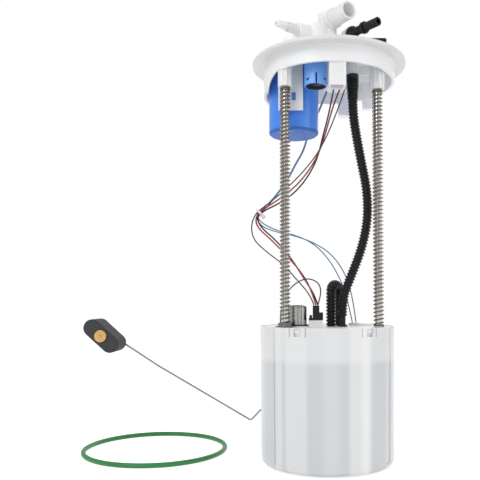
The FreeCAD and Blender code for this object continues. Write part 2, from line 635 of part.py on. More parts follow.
def make_cradle():
    inner = PUMP_R + CUSHION_T + 2 * SEAT_GAP
    cup = ring(inner + CRADLE_T, inner, FLOOR_Z + 4, CRADLE_Z, PUMP)
    legs = []
    for angle in (45, 135, 225, 315):
        leg = block((inner, inner + CRADLE_T), (-4, 4), (FLOOR_Z + SEAT_GAP, FLOOR_Z + 6))
        leg.translate(V(PUMP[0], PUMP[1], 0))
        legs.append(turned(leg, angle, PUMP))
    ledge = ring(inner + 1, PUMP_R - 2, PUMP_Z[0] - 3, PUMP_Z[0] - FIT_GAP, PUMP)
    return fuse([cup, ledge] + legs)


def make_cushion():
    return ring(PUMP_R + SEAT_GAP + CUSHION_T, PUMP_R + SEAT_GAP, PUMP_Z[0] + 2, CRADLE_Z - 2, PUMP)


def make_pump_strainer():
    z1 = PUMP_Z[0] - 3 - FIT_GAP
    sock = cylinder(PUMP_R - 1, z1 - STRAINER_H, z1, PUMP)
    neck = cylinder(5.5, z1 - 1, PUMP_Z[0] + 1 - SEAT_GAP, (PUMP[0] + PUMP_INLET[0], PUMP[1]))
    return fuse([sock, neck])


def make_outlet_tube():
    z0, z1 = PUMP_Z[1] + 3 + SEAT_GAP, LID_Z - SEAT_GAP
    bore = OUTLET_R + SEAT_GAP
    start, end = V(PUMP[0], PUMP[1], z0), V(HOSE_END[0], HOSE_END[1], z1)
    lower = fuse([ring(bore + 1.6, bore, z0, z0 + 6, PUMP), cylinder(bore + 1.6, z0 + 5.5, z0 + 7, PUMP)])
    points = [(start.x, start.y, z0 + 6), (start.x, start.y, z0 + 12),
              (end.x, end.y, z1 - 12), (end.x, end.y, z1)]
    return fuse([swept("outlet tube", points, OUTLET_R, bend_r=6.0), lower])


def make_jet_pump():
    top = FLOOR_Z + JET_H
    body = cylinder(JET_R, FLOOR_Z + SEAT_GAP, top, JET_AT)
    z = FLOOR_Z + JET_ARM_Z
    nozzle = bar((*JET_AT, z), (JET_AT[0] + JET_ARM[0], JET_AT[1] + JET_ARM[1], z), JET_ARM_R)
    return fuse([body, nozzle]).cut(cylinder(JET_BORE_R, FLOOR_Z - 1, top - JET_BORE_R, JET_AT))


def make_sender_housing():
    y0, y1 = PAD_Y + SEAT_GAP, PAD_Y + SEAT_GAP + SENDER_T
    xs = (PAD_X[0] + 3, PAD_X[1] - 3)
    body = block(xs, (y0, y1), (PAD_Z[0] + 4, PAD_Z[1] - 4))
    upright = [e for e in body.Edges if abs(e.Length - (y1 - y0)) < 0.01]
    body = body.makeFillet(4, upright)
    boss = bar((PIVOT[0], y1 - 1, PIVOT[1]), (PIVOT[0], y1 + 1.0, PIVOT[1]), 3.4)
    bore = bar((PIVOT[0], y0 + 1.5, PIVOT[1]), (PIVOT[0], y1 + 5, PIVOT[1]), ARM_R + RUN_GAP)
    card_z = PIVOT[1] + 6
    pocket = block((PIVOT[0] - CARD_W / 2, PIVOT[0] + CARD_W / 2), (y1 - CARD_POCKET, y1 + 1),
                   (card_z, card_z + CARD_H))
    return fuse([body, boss]).cut(bore).cut(pocket)


def make_sender_card():
    y1 = PAD_Y + SEAT_GAP + SENDER_T - CARD_POCKET + SEAT_GAP
    z = PIVOT[1] + 6
    half = CARD_W / 2 - SEAT_GAP
    return block((PIVOT[0] - half, PIVOT[0] + half), (y1, y1 + CARD_T), (z + SEAT_GAP, z + CARD_H - SEAT_GAP))


def make_arm_wire():
    pivot_end = (PIVOT[0], PAD_Y + SEAT_GAP + 2.0, PIVOT[1])
    bends = [(x, ARM_Y, z) for x, z in [PIVOT] + ARM_BENDS + [FLOAT_AT]]
    tip = (FLOAT_AT[0], FLOAT_Y[0] - BRASS_T - 1.0, FLOAT_AT[1])
    return swept("float arm", [pivot_end] + bends + [tip], ARM_R, bend_r=ARM_BEND_R / 2)


def make_arm_hub():
    y0 = PAD_Y + SEAT_GAP + SENDER_T + 1.0 + SEAT_GAP
    y1 = ARM_Y - ARM_R - SEAT_GAP
    hub = bar((PIVOT[0], y0, PIVOT[1]), (PIVOT[0], y1 - 1.6, PIVOT[1]), HUB_R)
    wiper = block((PIVOT[0] - 3, PIVOT[0] + 3), (y0, y0 + 1.6), (PIVOT[1], PIVOT[1] + WIPER_H))
    bore = bar((PIVOT[0], y0 - 1, PIVOT[1]), (PIVOT[0], y1 + 5, PIVOT[1]), ARM_R + SEAT_GAP)
    return fuse([hub, wiper]).cut(bore)


def make_float():
    half = (FLOAT_LEN - FLOAT_H) / 2
    r = FLOAT_H / 2
    y0, y1 = FLOAT_Y
    ends = [bar((x, y0, 0), (x, y1, 0), r) for x in (-half, half)]
    body = fuse([block((-half, half), (y0, y1), (-r, r))] + ends)
    rims = [e for e in body.Edges if e.BoundBox.YLength < 0.01]
    body = body.makeChamfer(1.0, rims)
    body.rotate(V(0, 0, 0), V(0, 1, 0), FLOAT_TILT)
    body.translate(V(FLOAT_AT[0], 0, FLOAT_AT[1]))
    bore = bar((FLOAT_AT[0], y0 - 1, FLOAT_AT[1]), (FLOAT_AT[0], y1 + 1, FLOAT_AT[1]), ARM_R + RUN_GAP)
    return body.cut(bore)


def make_brass():
    y1 = FLOAT_Y[0] - 0.2
    disc = bar((FLOAT_AT[0], y1 - BRASS_T, FLOAT_AT[1]), (FLOAT_AT[0], y1, FLOAT_AT[1]), BRASS_R)
    return disc.cut(bar((FLOAT_AT[0], 0, FLOAT_AT[1]), (FLOAT_AT[0], y1 + 1, FLOAT_AT[1]), ARM_R + 0.03))


def deep_skirt(centre):
    """The deeper stretch of skirt, whose front edge sweeps up to the left post."""
    wall = sector(SKIRT_R, SKIRT_R - SKIRT_T, DEEP_Z, DECK_Z + 1, DEEP_ARC, centre)
    start, middle, end = [V(x, -SKIRT_R - 10, z) for x, z in DEEP_SWEEP]
    inner_x = CANISTER[0]
    corners = [end, V(end.x, end.y, DEEP_Z - 1), V(inner_x, end.y, DEEP_Z - 1),
               V(inner_x, end.y, start.z), start]
    edges = [Part.Arc(start, middle, end).toShape()]
    edges += [Part.LineSegment(a, b).toShape() for a, b in zip(corners, corners[1:])]
    away = Part.Face(Part.Wire(edges)).extrude(V(0, DEEP_SWEEP_BACK + SKIRT_R + 10, 0))
    return wall.cut(away)


def fluted_post(at):
    core = cylinder(POST_CORE_R, POST_Z, DECK_Z + 1, at)
    flute = block((at[0], at[0] + POST_R), (at[1] - FLUTE_T / 2, at[1] + FLUTE_T / 2), (POST_Z, DECK_Z + 1))
    return fuse([core] + [turned(flute, i * 360 / FLUTES, at) for i in range(FLUTES)])


def make_flange():
    centre = (FLANGE_X, 0)
    deck = cylinder(LIP_R, DECK_Z, DECK_TOP, centre)
    deck = deck.makeFillet(LIP_FILLET, [e for e in deck.Edges if e.Closed])
    skirt = ring(SKIRT_R, SKIRT_R - SKIRT_T, DECK_Z - SKIRT_H, DECK_Z + 1, centre)
    boss = cylinder(TOP_BOSS_R, DECK_TOP - 1, TOP_BOSS_Z, CANISTER)
    boss = boss.makeFillet(TOP_BOSS_FILLET, [e for e in boss.Edges if e.BoundBox.ZMin > TOP_BOSS_Z - 0.1])
    pieces = [deck, skirt, deep_skirt(centre), boss]
    pieces += [fluted_post(at) for at in RODS.values()]
    pieces.append(block(BOX_X, BOX_Y, (BOX_Z, DECK_Z + 1)))
    for xs, ys, z in (TOWER_A, TOWER_B, WIRE_BLOCK):
        pieces.append(block(xs, ys, (z, DECK_Z + 1)))
    pieces.append(block(TONGUE_X, TONGUE_Y, (TONGUE_Z, DECK_Z + 1)))
    pieces.append(ring(SUPPLY_STEM_R + STEM_COLLAR_WALL, SUPPLY_STEM_R + FIT_GAP, DECK_TOP - 1,
                       DECK_TOP + SUPPLY_COLLAR_H, SUPPLY))
    left, right = GUSSET_X
    corners = [(left, DECK_TOP - 1), (right, DECK_TOP - 1), (right, GUSSET_Z[1]), (left, GUSSET_Z[0])]
    corners = [V(x, GUSSET_Y[0], z) for x, z in corners]
    gusset = Part.Face(Part.makePolygon(corners + corners[:1]))
    pieces.append(gusset.extrude(V(0, GUSSET_Y[1] - GUSSET_Y[0], 0)))
    for angle in RIB_ANGLES:
        rib = block((RIB_START, SKIRT_R - SKIRT_T / 2), (-RIB_T / 2, RIB_T / 2), (DECK_Z - RIB_H, DECK_Z + 1))
        rib.translate(V(FLANGE_X, 0, 0))
        pieces.append(turned(rib, angle, centre))
    body = fuse(pieces)
    cuts = [cylinder(ROD_R + 0.02, POST_Z - 1, POST_Z + ROD_INSERT, at) for at in RODS.values()]
    cuts.append(block((BOX_X[0] + BOX_WALL, BOX_X[1] - BOX_WALL), (BOX_Y[0] + BOX_WALL, BOX_Y[1] - BOX_WALL),
                      (BOX_Z - 1, DECK_Z - BOX_WALL)))
    cuts.append(block(WINDOW_X, (TONGUE_Y[0] - 1, TONGUE_Y[1] + 1), WINDOW_Z))
    cuts.append(cylinder(SUPPLY_BORE, DECK_Z - 1, DECK_TOP + 1, SUPPLY))
    cuts.append(cylinder(DOWN_BORE_R, DECK_Z - 1, DECK_TOP + 1, (ELBOW[0] - DOWN_BORE_BACK, ELBOW[1])))
    return body.cut(Part.makeCompound(cuts))


def along(start, end, distance, z):
    """The point this far from start towards end, both given as (x, y), at height z."""
    dx, dy = end[0] - start[0], end[1] - start[1]
    length = math.hypot(dx, dy)
    return (start[0] + dx * distance / length, start[1] + dy * distance / length, z)


def make_vapour_port():
    z0 = DECK_TOP
    mouth_at = math.hypot(VAPOUR_MOUTH[0] - ELBOW[0], VAPOUR_MOUTH[1] - ELBOW[1])
    centre = (ELBOW[0], ELBOW[1], PORT_Z)
    top = PORT_Z + ELBOW_TOP
    cap = cylinder(CAP_R, z0, z0 + CAP_H, CAP)
    cap = cap.makeFillet(CAP_FILLET, [e for e in cap.Edges if e.BoundBox.ZMin > z0 + CAP_H - 0.1])
    foot = cylinder(CAP_R + CAP_FOOT, z0, z0 + CAP_FOOT, CAP)
    stem = cylinder(ELBOW_R, z0 + CAP_H / 2, top, ELBOW)
    stem = stem.makeFillet(ELBOW_FILLET, [e for e in stem.Edges if e.BoundBox.ZMin > top - 0.1])
    tube = bar(centre, along(ELBOW, VAPOUR_MOUTH, mouth_at, PORT_Z), VAPOUR_R)
    collar = bar(along(ELBOW, VAPOUR_MOUTH, COLLAR_AT, PORT_Z),
                 along(ELBOW, VAPOUR_MOUTH, COLLAR_AT + COLLAR_W, PORT_Z), COLLAR_R)
    to_tip = math.hypot(NOZZLE_TIP[0] - CAP[0], NOZZLE_TIP[1] - CAP[1])
    socket = bar((CAP[0], CAP[1], NOZZLE_Z), along(CAP, NOZZLE_TIP, SOCKET_LEN, NOZZLE_Z), SOCKET_R)
    root = bar((CAP[0], CAP[1], NOZZLE_Z), along(CAP, NOZZLE_TIP, SOCKET_ROOT_LEN, NOZZLE_Z), SOCKET_ROOT_R)
    body = fuse([cap, foot, stem, tube, collar, socket, root])
    bore = bar(centre, along(ELBOW, VAPOUR_MOUTH, mouth_at + 2, PORT_Z), VAPOUR_BORE)
    down = cylinder(DOWN_BORE_R, z0 - 1, PORT_Z, (ELBOW[0] - DOWN_BORE_BACK, ELBOW[1]))
    plug_hole = bar(along(CAP, NOZZLE_TIP, SOCKET_LEN - NOZZLE_SEAT, NOZZLE_Z),
                    along(CAP, NOZZLE_TIP, to_tip, NOZZLE_Z), NOZZLE_R + SEAT_GAP)
    return body.cut(Part.makeCompound([bore, plug_hole])).cut(down)


def make_vent_nozzle():
    to_tip = math.hypot(NOZZLE_TIP[0] - CAP[0], NOZZLE_TIP[1] - CAP[1])
    start = along(CAP, NOZZLE_TIP, SOCKET_LEN - NOZZLE_SEAT + 2 * SEAT_GAP, NOZZLE_Z)
    round_at = along(CAP, NOZZLE_TIP, to_tip - NOZZLE_R, NOZZLE_Z)
    tube = fuse([bar(start, round_at, NOZZLE_R), Part.makeSphere(NOZZLE_R, V(*round_at))])
    return tube.cut(bar(start, along(CAP, NOZZLE_TIP, to_tip + 2, NOZZLE_Z), NOZZLE_BORE))


def make_supply_port():
    centre = (SUPPLY[0], SUPPLY[1], SUPPLY_Z)
    length = math.hypot(SUPPLY_MOUTH[0] - SUPPLY[0], SUPPLY_MOUTH[1] - SUPPLY[1])
    stem = cylinder(SUPPLY_STEM_R, DECK_TOP, SUPPLY_Z, SUPPLY)
    dome = Part.makeSphere(SUPPLY_DOME_R, V(*centre))
    tube = bar(centre, along(SUPPLY, SUPPLY_MOUTH, length, SUPPLY_Z), SUPPLY_R)
    bead = bar(along(SUPPLY, SUPPLY_MOUTH, BEAD_AT, SUPPLY_Z),
               along(SUPPLY, SUPPLY_MOUTH, BEAD_AT + BEAD_W, SUPPLY_Z), BEAD_R)
    body = fuse([stem, dome, tube, bead])
    bore = bar(centre, along(SUPPLY, SUPPLY_MOUTH, length + 2, SUPPLY_Z), SUPPLY_BORE)
    return body.cut(bore).cut(cylinder(SUPPLY_BORE, DECK_TOP - 1, SUPPLY_Z, SUPPLY))


def make_nipple():
    barb = cylinder(BARB_R, NIPPLE_Z - BARB_H, NIPPLE_Z + 1, SUPPLY)
    outer = fuse([cylinder(NIPPLE_R, NIPPLE_Z, DECK_Z, SUPPLY), barb])
    return outer.cut(cylinder(SUPPLY_BORE, NIPPLE_Z - BARB_H - 1, DECK_Z + 1, SUPPLY))


def make_boot():
    top = NIPPLE_Z - SEAT_GAP
    bore = BARB_R + SEAT_GAP
    solid_z = NIPPLE_Z - BARB_H - 2
    step_low, step_high = [BOOT_Z + step for step in BOOT_STEP]
    return revolve([(0, BOOT_Z), (BOOT_END_R, BOOT_Z), (BOOT_END_R, step_low), (BOOT_R, step_high),
                    (BOOT_R, top), (bore, top), (bore, solid_z), (0, solid_z)], SUPPLY)


def make_tank_connector():
    shell = block(PLUG_X, PLUG_Y, (DECK_TOP, DECK_TOP + PLUG_H))
    upright = [e for e in shell.Edges if abs(e.BoundBox.ZLength - PLUG_H) < 0.01]
    shell = shell.makeFillet(PLUG_CORNER, upright)
    hollow = block((PLUG_X[0] + PLUG_WALL, PLUG_X[1] - PLUG_WALL),
                   (PLUG_Y[0] + PLUG_WALL, PLUG_Y[1] - PLUG_WALL),
                   (DECK_TOP + PLUG_FLOOR, DECK_TOP + PLUG_H + 1))
    return shell.cut(hollow)


def make_connector_pins():
    middle = (PLUG_X[0] + PLUG_X[1]) / 2
    step = (PLUG_Y[1] - PLUG_Y[0] - 2 * PLUG_WALL) / PINS
    pins = []
    for i in range(PINS):
        y = PLUG_Y[0] + PLUG_WALL + (i + 0.5) * step
        pins.append(block((middle - PIN_W / 2, middle + PIN_W / 2), (y - PIN_T / 2, y + PIN_T / 2),
                          (DECK_TOP + PLUG_FLOOR, DECK_TOP + PLUG_FLOOR + PIN_H)))
    return Part.makeCompound(pins)


def make_canister():
    top = DECK_Z - CANISTER_NECK_H
    shell = ring(CANISTER_R, CANISTER_R - CANISTER_WALL, CANISTER_Z + CANISTER_CAP_T, top, CANISTER)
    roof = cylinder(CANISTER_R, top - CANISTER_WALL, top, CANISTER)
    neck = cylinder(CANISTER_NECK_R, top - 1, DECK_Z, CANISTER)
    catch = block((WINDOW_X[0] + FIT_GAP, WINDOW_X[1] - FIT_GAP),
                  (TONGUE_Y[0] + 2 * FIT_GAP, CANISTER[1] - CANISTER_R + CANISTER_WALL / 2),
                  (WINDOW_Z[0] + FIT_GAP, WINDOW_Z[1] - FIT_GAP))
    bore = cylinder(CANISTER_BORE_R, top - CANISTER_WALL - 1, DECK_Z + 1, CANISTER)
    return fuse([shell, roof, neck, catch]).cut(bore)


def make_canister_base():
    z0, z1 = CANISTER_Z, CANISTER_Z + CANISTER_CAP_T
    edge = CANISTER_R - 2 * SEAT_GAP
    cap = revolve([(0, z0), (edge - BASE_BEVEL, z0), (edge, z0 + BASE_BEVEL), (edge, z1),
                   (edge - CANISTER_WALL, z1), (edge - CANISTER_WALL, z1 - FIT_GAP), (0, z1 - FIT_GAP)],
                  CANISTER)
    slit_x, slit_y = BASE_SLIT_SIZE
    slits = [block((CANISTER[0] + x, CANISTER[0] + x + slit_x), (BASE_SLIT_Y, BASE_SLIT_Y + slit_y),
                   (z0 - 1, z1 + 1)) for x in BASE_SLITS]
    return cap.cut(Part.makeCompound(slits))


def make_vent_float():
    z1 = CANISTER_Z + CANISTER_CAP_T + VENT_FLOAT_H
    body = cylinder(VENT_FLOAT_R, z1 - VENT_FLOAT_H, z1, CANISTER)
    stem_top = DECK_Z - CANISTER_NECK_H - CANISTER_WALL - VENT_TRAVEL - 1
    return fuse([body, Part.makeCone(*VENT_CONE_R, stem_top - z1, V(*CANISTER, z1), UP)])


def make_rollover_cup():
    front = (CUP[1] - CUP_R - 1, CUP[1] - CUP_R + 2 * CUP_WALL)
    ledge_z = CUP_Z + CUP_LEDGE_Z
    shell = ring(CUP_R, CUP_R - CUP_WALL, CUP_Z, DECK_Z, CUP)
    ledge = ring(CUP_R - CUP_WALL / 2, CUP_LEDGE_R, ledge_z, ledge_z + CUP_LEDGE_T, CUP)
    slot = block((CUP[0] - CUP_SLOT_W / 2, CUP[0] + CUP_SLOT_W / 2), front, (CUP_Z - 1, CUP_Z + CUP_SLOT_H))
    width, height = CUP_NOTCH
    notch = block((CUP[0] - width / 2, CUP[0] + width / 2), front,
                  (CUP_Z + CUP_NOTCH_Z, CUP_Z + CUP_NOTCH_Z + height))
    notches = [turned(notch, side * CUP_NOTCH_ANGLE, CUP) for side in (-1, 1)]
    return fuse([shell, ledge]).cut(Part.makeCompound([slot] + notches))


def make_rollover_float():
    z0 = CUP_Z + CUP_LEDGE_Z + CUP_LEDGE_T
    body = cylinder(CUP_R - CUP_WALL - CUP_FLOAT_GAP, z0, z0 + CUP_FLOAT_H, CUP)
    return fuse([body, Part.makeCone(*CUP_CONE_R, CUP_CONE_H, V(*CUP, z0 + CUP_FLOAT_H), UP)])


def make_rod(at):
    groove_z = BUSH_END_Z - BUSH_LIP - FIT_GAP - STOP_CLIP_T
    rod = cylinder(ROD_R, ROD_END_Z, POST_Z + ROD_INSERT - SEAT_GAP, at)
    groove = ring(ROD_R + 1, ROD_R - 0.5, groove_z, groove_z + STOP_CLIP_T, at)
    return rod.cut(groove)


def make_stop_clips():
    z1 = BUSH_END_Z - BUSH_LIP - FIT_GAP - 0.05
    return Part.makeCompound([ring(STOP_CLIP_R, ROD_R - 0.45, z1 - STOP_CLIP_T + 0.1, z1, at)
                              for at in RODS.values()])


def make_spring(at, z0):
    return ring(COIL_R, COIL_R - WIRE_D, z0, POST_Z - SEAT_GAP, at)


def tie_frame():
    heading = V(*TIE_DIR).normalize()
    side = V(0, 1, 0)
    return V(*TIE_AT), heading, side, side.cross(heading)


def through_tie(top, low, side_step, up_step):
    """A wire's whole route: down to the tie, straight through it, and on to its lower end."""
    centre, heading, side, up = tie_frame()
    middle = centre + side * (side_step * TIE_PITCH) + up * (up_step * TIE_PITCH)
    return top + [tuple(middle - heading * TIE_RUN), tuple(middle + heading * TIE_RUN)] + low


def make_tie():
    centre, heading, side, up = tie_frame()
    loop = Part.makeCylinder(TIE_R + TIE_T, TIE_W, centre - heading * (TIE_W / 2), heading)
    head = Part.makeBox(4.4, 3.4, 3.6)
    head.translate(V(-2.2, -1.7, 0))
    placement = FreeCAD.Placement(centre + side * -(TIE_R + 0.4), FreeCAD.Rotation(V(0, 0, 1), -side))
    head.Placement = placement
    return fuse([loop, head]).cut(Part.makeCylinder(TIE_R, 12, centre - heading * 6, heading))


save("reservoir", make_reservoir())
save("lid", make_lid())
save("rod_bushings", make_bushings())
save("base_strainer", make_strainer())
save("inlet_valve", make_inlet_valve())
can, can_flange = make_regulator()
save("regulator_can", can)
save("regulator_clip", can_flange)
save("ground_terminal", make_ground_terminal())
save("pump_connector", make_pump_connector())
save("supply_fitting", make_supply_fitting())
save("loop_hose", make_loop_hose())
save("wire_grommet", make_grommet())
case, cap, cover, magnets = make_pump()
save("pump_case", case)
save("pump_outlet_cap", cap)
save("pump_inlet_cover", cover)
save("pump_magnets", magnets)
shaft, armature, impeller = make_rotor()
save("rotor_shaft", shaft)
save("armature", armature)
save("impeller", impeller)
save("pump_cradle", make_cradle())
save("pump_cushion", make_cushion())
save("pump_strainer", make_pump_strainer())
save("outlet_tube", make_outlet_tube())
save("jet_pump", make_jet_pump())
save("sender_housing", make_sender_housing())
save("sender_card", make_sender_card())
save("float_arm_wire", make_arm_wire())
save("sender_hub", make_arm_hub())
save("level_float", make_float())
save("float_retainer", make_brass())
save("tank_seal_ring", Part.makeTorus(SEAL_MEAN_R, SEAL_R, V(*SEAL_AT, SEAL_R - DATUM_Z), UP))
save("flange", make_flange())
save("vapour_port", make_vapour_port())
save("vent_nozzle", make_vent_nozzle())
save("supply_port", make_supply_port())
save("supply_nipple", make_nipple())
save("hose_boot", make_boot())
hose_points = [(*SUPPLY, BOOT_Z - SEAT_GAP)] + HOSE_ROUTE + [(*HOSE_END, HOSE_END_Z)]
save("supply_hose", swept("supply hose", hose_points, HOSE_R))
save("tank_connector", make_tank_connector())
save("tank_connector_pins", make_connector_pins())
save("vent_canister", make_canister())
save("canister_base", make_canister_base())
save("vent_float", make_vent_float())
save("rollover_cup", make_rollover_cup())
save("rollover_float", make_rollover_float())
spring_foot = {"left": LID_Z + 2 * SEAT_GAP + TERMINAL_T, "right": LID_Z + SEAT_GAP}
for name, at in RODS.items():
    save("guide_rod_" + name, make_rod(at))
    save("spring_" + name, make_spring(at, spring_foot[name]))
save("rod_stop_clips", make_stop_clips())
save("wire_black", swept("black wire", through_tie(BLACK_TOP, BLACK_LOW, -0.55, -1), WIRE_R))
save("wire_red", swept("red wire", through_tie(RED_TOP, RED_LOW, -0.55, 0), WIRE_R))
save("wire_grey", swept("grey wire", through_tie(GREY_TOP, GREY_LOW, -0.55, 1), WIRE_R))
sense_a = swept("sense wire a", through_tie(SENSE_A_TOP, SENSE_A_LOW, 0.55, 0.5), WIRE_R)
sense_b = swept("sense wire b", through_tie(SENSE_B_TOP, SENSE_B_LOW, 0.55, -0.5), WIRE_R)
save("sender_wires", Part.makeCompound([sense_a, sense_b]))
save("ground_wire", swept("ground wire", GROUND_ROUTE, WIRE_R))
save("cable_tie", make_tie())
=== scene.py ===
# %% [markdown]
# # A fuel pump module
# The object hangs in a vehicle's fuel tank: a white flange closes the tank's opening, two sprung
# rods press a cup with the pump in it against the tank's floor, and a float on a wire arm measures
# the level. The solids come from CAD and stay as they are. This lesson dresses them: it shapes the
# coils, ribs, grooves, wires and cable tie that the solids hold as plain forms, and gives every
# piece its finish.

# %% Load the solids
import math
import bmesh
import bpy
from mathutils import Matrix, Vector


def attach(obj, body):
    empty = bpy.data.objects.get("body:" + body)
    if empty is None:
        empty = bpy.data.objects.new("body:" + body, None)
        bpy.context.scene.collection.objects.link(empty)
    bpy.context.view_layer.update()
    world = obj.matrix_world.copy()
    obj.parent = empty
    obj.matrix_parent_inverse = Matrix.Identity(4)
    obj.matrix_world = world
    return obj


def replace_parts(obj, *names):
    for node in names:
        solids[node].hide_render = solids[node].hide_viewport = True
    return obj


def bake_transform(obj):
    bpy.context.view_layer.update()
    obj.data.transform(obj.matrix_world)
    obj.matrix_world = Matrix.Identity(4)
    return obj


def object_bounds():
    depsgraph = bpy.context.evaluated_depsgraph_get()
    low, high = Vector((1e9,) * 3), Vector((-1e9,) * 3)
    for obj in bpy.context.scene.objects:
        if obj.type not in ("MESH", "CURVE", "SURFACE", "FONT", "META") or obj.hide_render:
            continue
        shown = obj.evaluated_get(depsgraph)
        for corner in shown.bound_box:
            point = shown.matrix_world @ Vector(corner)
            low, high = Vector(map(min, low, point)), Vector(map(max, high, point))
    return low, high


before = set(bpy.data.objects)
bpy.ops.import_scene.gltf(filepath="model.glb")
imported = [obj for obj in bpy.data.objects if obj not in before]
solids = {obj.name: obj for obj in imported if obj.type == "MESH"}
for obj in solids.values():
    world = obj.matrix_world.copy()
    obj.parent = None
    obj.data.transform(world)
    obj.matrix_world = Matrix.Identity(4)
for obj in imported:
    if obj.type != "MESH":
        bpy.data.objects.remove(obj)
cad_low, cad_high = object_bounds()
MM = 0.001
DATUM = 3.7      # the CAD source measures its heights in mm from a level this far above the floor
CUP_UNIT = "reservoir_unit"
TOP_UNIT = "flange_unit"


def above(height):
    """A height of the CAD source, in metres above the floor."""
    return (height + DATUM) * MM


def add_object(name, data):
    """A new object of the scene that holds a mesh, a curve, a light or a camera."""
    made = bpy.data.objects.new(name, data)
    bpy.context.scene.collection.objects.link(made)
    return made


box = [round((high - low) / MM, 1) for low, high in zip(cad_low, cad_high)]
print("solids", len(solids), "box in mm", box)

# %% [markdown]
# ## The camera
# A picture of a tall object taken with its camera nearly level shows the top plate from below and
# the cup's rim edge on. The camera stands at the height of the cup and looks slightly up, and the
# frame is shifted so that the loose ring and the float have room on the left. It is set first,
# because every later choice is judged through it.

# %% Place the camera
lens = bpy.data.cameras.new("camera")
lens.sensor_width = 36.0
lens.lens = 48.0
lens.shift_x = -0.10
lens.shift_y = 0.065
camera = add_object("camera", lens)
camera.location = (-0.0363, -0.5993, above(144.6))
camera.rotation_euler = (math.radians(92.67), 0, 0)
bpy.context.scene.camera = camera

# %% [markdown]
# ## Shader maths as arithmetic
# A pattern such as a moulding ripple is a sum of noises and ramps. Written node by node it is hard
# to read, so a small class wraps a socket and turns +, - and * into Math nodes. The material class
# has one method that adds any node: its type, its settings, and what goes into its sockets.


# %% Wrap sockets and materials
class Value:
    """One output socket, so that shader maths reads as arithmetic."""

    def __init__(self, finish, socket):
        self.finish = finish
        self.socket = socket

    def __add__(self, other):
        return self.finish.maths("ADD", self, other)

    def __sub__(self, other):
        return self.finish.maths("SUBTRACT", self, other)

    def __rsub__(self, other):
        return self.finish.maths("SUBTRACT", other, self)

    def __mul__(self, other):
        return self.finish.maths("MULTIPLY", self, other)


class Finish:
    """A material with a main shader, whose plain numbers are set on its own sockets."""

    def __init__(self, name, colour, roughness, **numbers):
        self.material = bpy.data.materials.new(name)
        self.material.use_nodes = True
        self.tree = self.material.node_tree
        self.shader = self.tree.nodes["Principled BSDF"]
        self.feed(self.shader, {"Base Color": (*colour, 1.0), "Roughness": roughness})
        self.feed(self.shader, {key.replace("_", " "): value for key, value in numbers.items()})

    def feed(self, node, inputs):
        """Links each wrapped socket, and sets each plain value, on the node's inputs."""
        for key, value in inputs.items():
            if isinstance(value, Value):
                self.tree.links.new(value.socket, node.inputs[key])
            else:
                node.inputs[key].default_value = value

    def node(self, kind, settings=None, inputs=None, output=0):
        made = self.tree.nodes.new(kind)
        for key, value in (settings or {}).items():
            setattr(made, key, value)
        self.feed(made, inputs or {})
        return Value(self, made.outputs[output])

    def maths(self, operation, *numbers):
        return self.node("ShaderNodeMath", {"operation": operation}, dict(enumerate(numbers)))

    def place(self):
        return self.node("ShaderNodeTexCoord", output="Object")

    def noise(self, scale, detail=3.0, stretch=None):
        where = self.place()
        if stretch:
            where = self.node("ShaderNodeMapping", {}, {"Vector": where, "Scale": stretch})
        return self.node("ShaderNodeTexNoise", {}, {
            "Vector": where, "Scale": scale, "Detail": detail})

    def fade(self, value, start, end, top=1.0):
        """Rises softly from 0 where value is at start to top where it is at end."""
        return self.node("ShaderNodeMapRange", {"interpolation_type": "SMOOTHSTEP"}, {
            "Value": value, "From Min": start, "From Max": end, "To Max": top})

    def mix(self, factor, first, second):
        first, second = [c if isinstance(c, Value) else (*c, 1.0) for c in (first, second)]
        return self.node("ShaderNodeMix", {"data_type": "RGBA"}, {
            0: factor, 6: first, 7: second}, output=2)

    def bump(self, height, distance, edge=0.0):
        """A bump, over a normal that is rounded within the distance edge of a sharp edge."""
        inputs = {"Height": height, "Distance": distance}
        if edge:
            inputs["Normal"] = self.node("ShaderNodeBevel", {"samples": 6}, {"Radius": edge})
        self.feed(self.shader, {"Normal": self.node("ShaderNodeBump", {}, inputs)})


# %% [markdown]
# ## Moulded plastics
# The flange, the cup and the ports are natural acetal: milky, satin, and slightly see-through
# where the wall is thin. Light that enters the wall and leaves it a few millimetres further on
# makes it look milky, so the shader has some subsurface scattering. The mould leaves a faint
# ripple, and the edges are never knife sharp, so the normal is rounded near them.


# %% Natural acetal, blue acetal and black nylon
def moulded(name, colour, roughness, variation, ripple=0.00002, edge=0.0004, **numbers):
    """Moulded plastic: faint cloudiness in its colour, a satin skin and soft edges."""
    finish = Finish(name, colour, roughness, **numbers)
    cloud = finish.noise(18.0, 4.0)
    darker = tuple(c * (1 - variation) for c in colour)
    finish.feed(finish.shader, {"Base Color": finish.mix(cloud, darker, colour)})
    skin = finish.noise(240.0, 5.0)
    finish.feed(finish.shader, {"Roughness": skin * 0.16 + (roughness - 0.08)})
    finish.bump(skin, ripple, edge=edge)
    return finish


def milk(weight, radius):
    """Shader numbers of milky plastic, which light crosses for about a radius."""
    return {"Subsurface_Weight": weight, "Subsurface_Radius": (radius, radius, radius * 1.1),
            "Subsurface_Scale": 1.0}


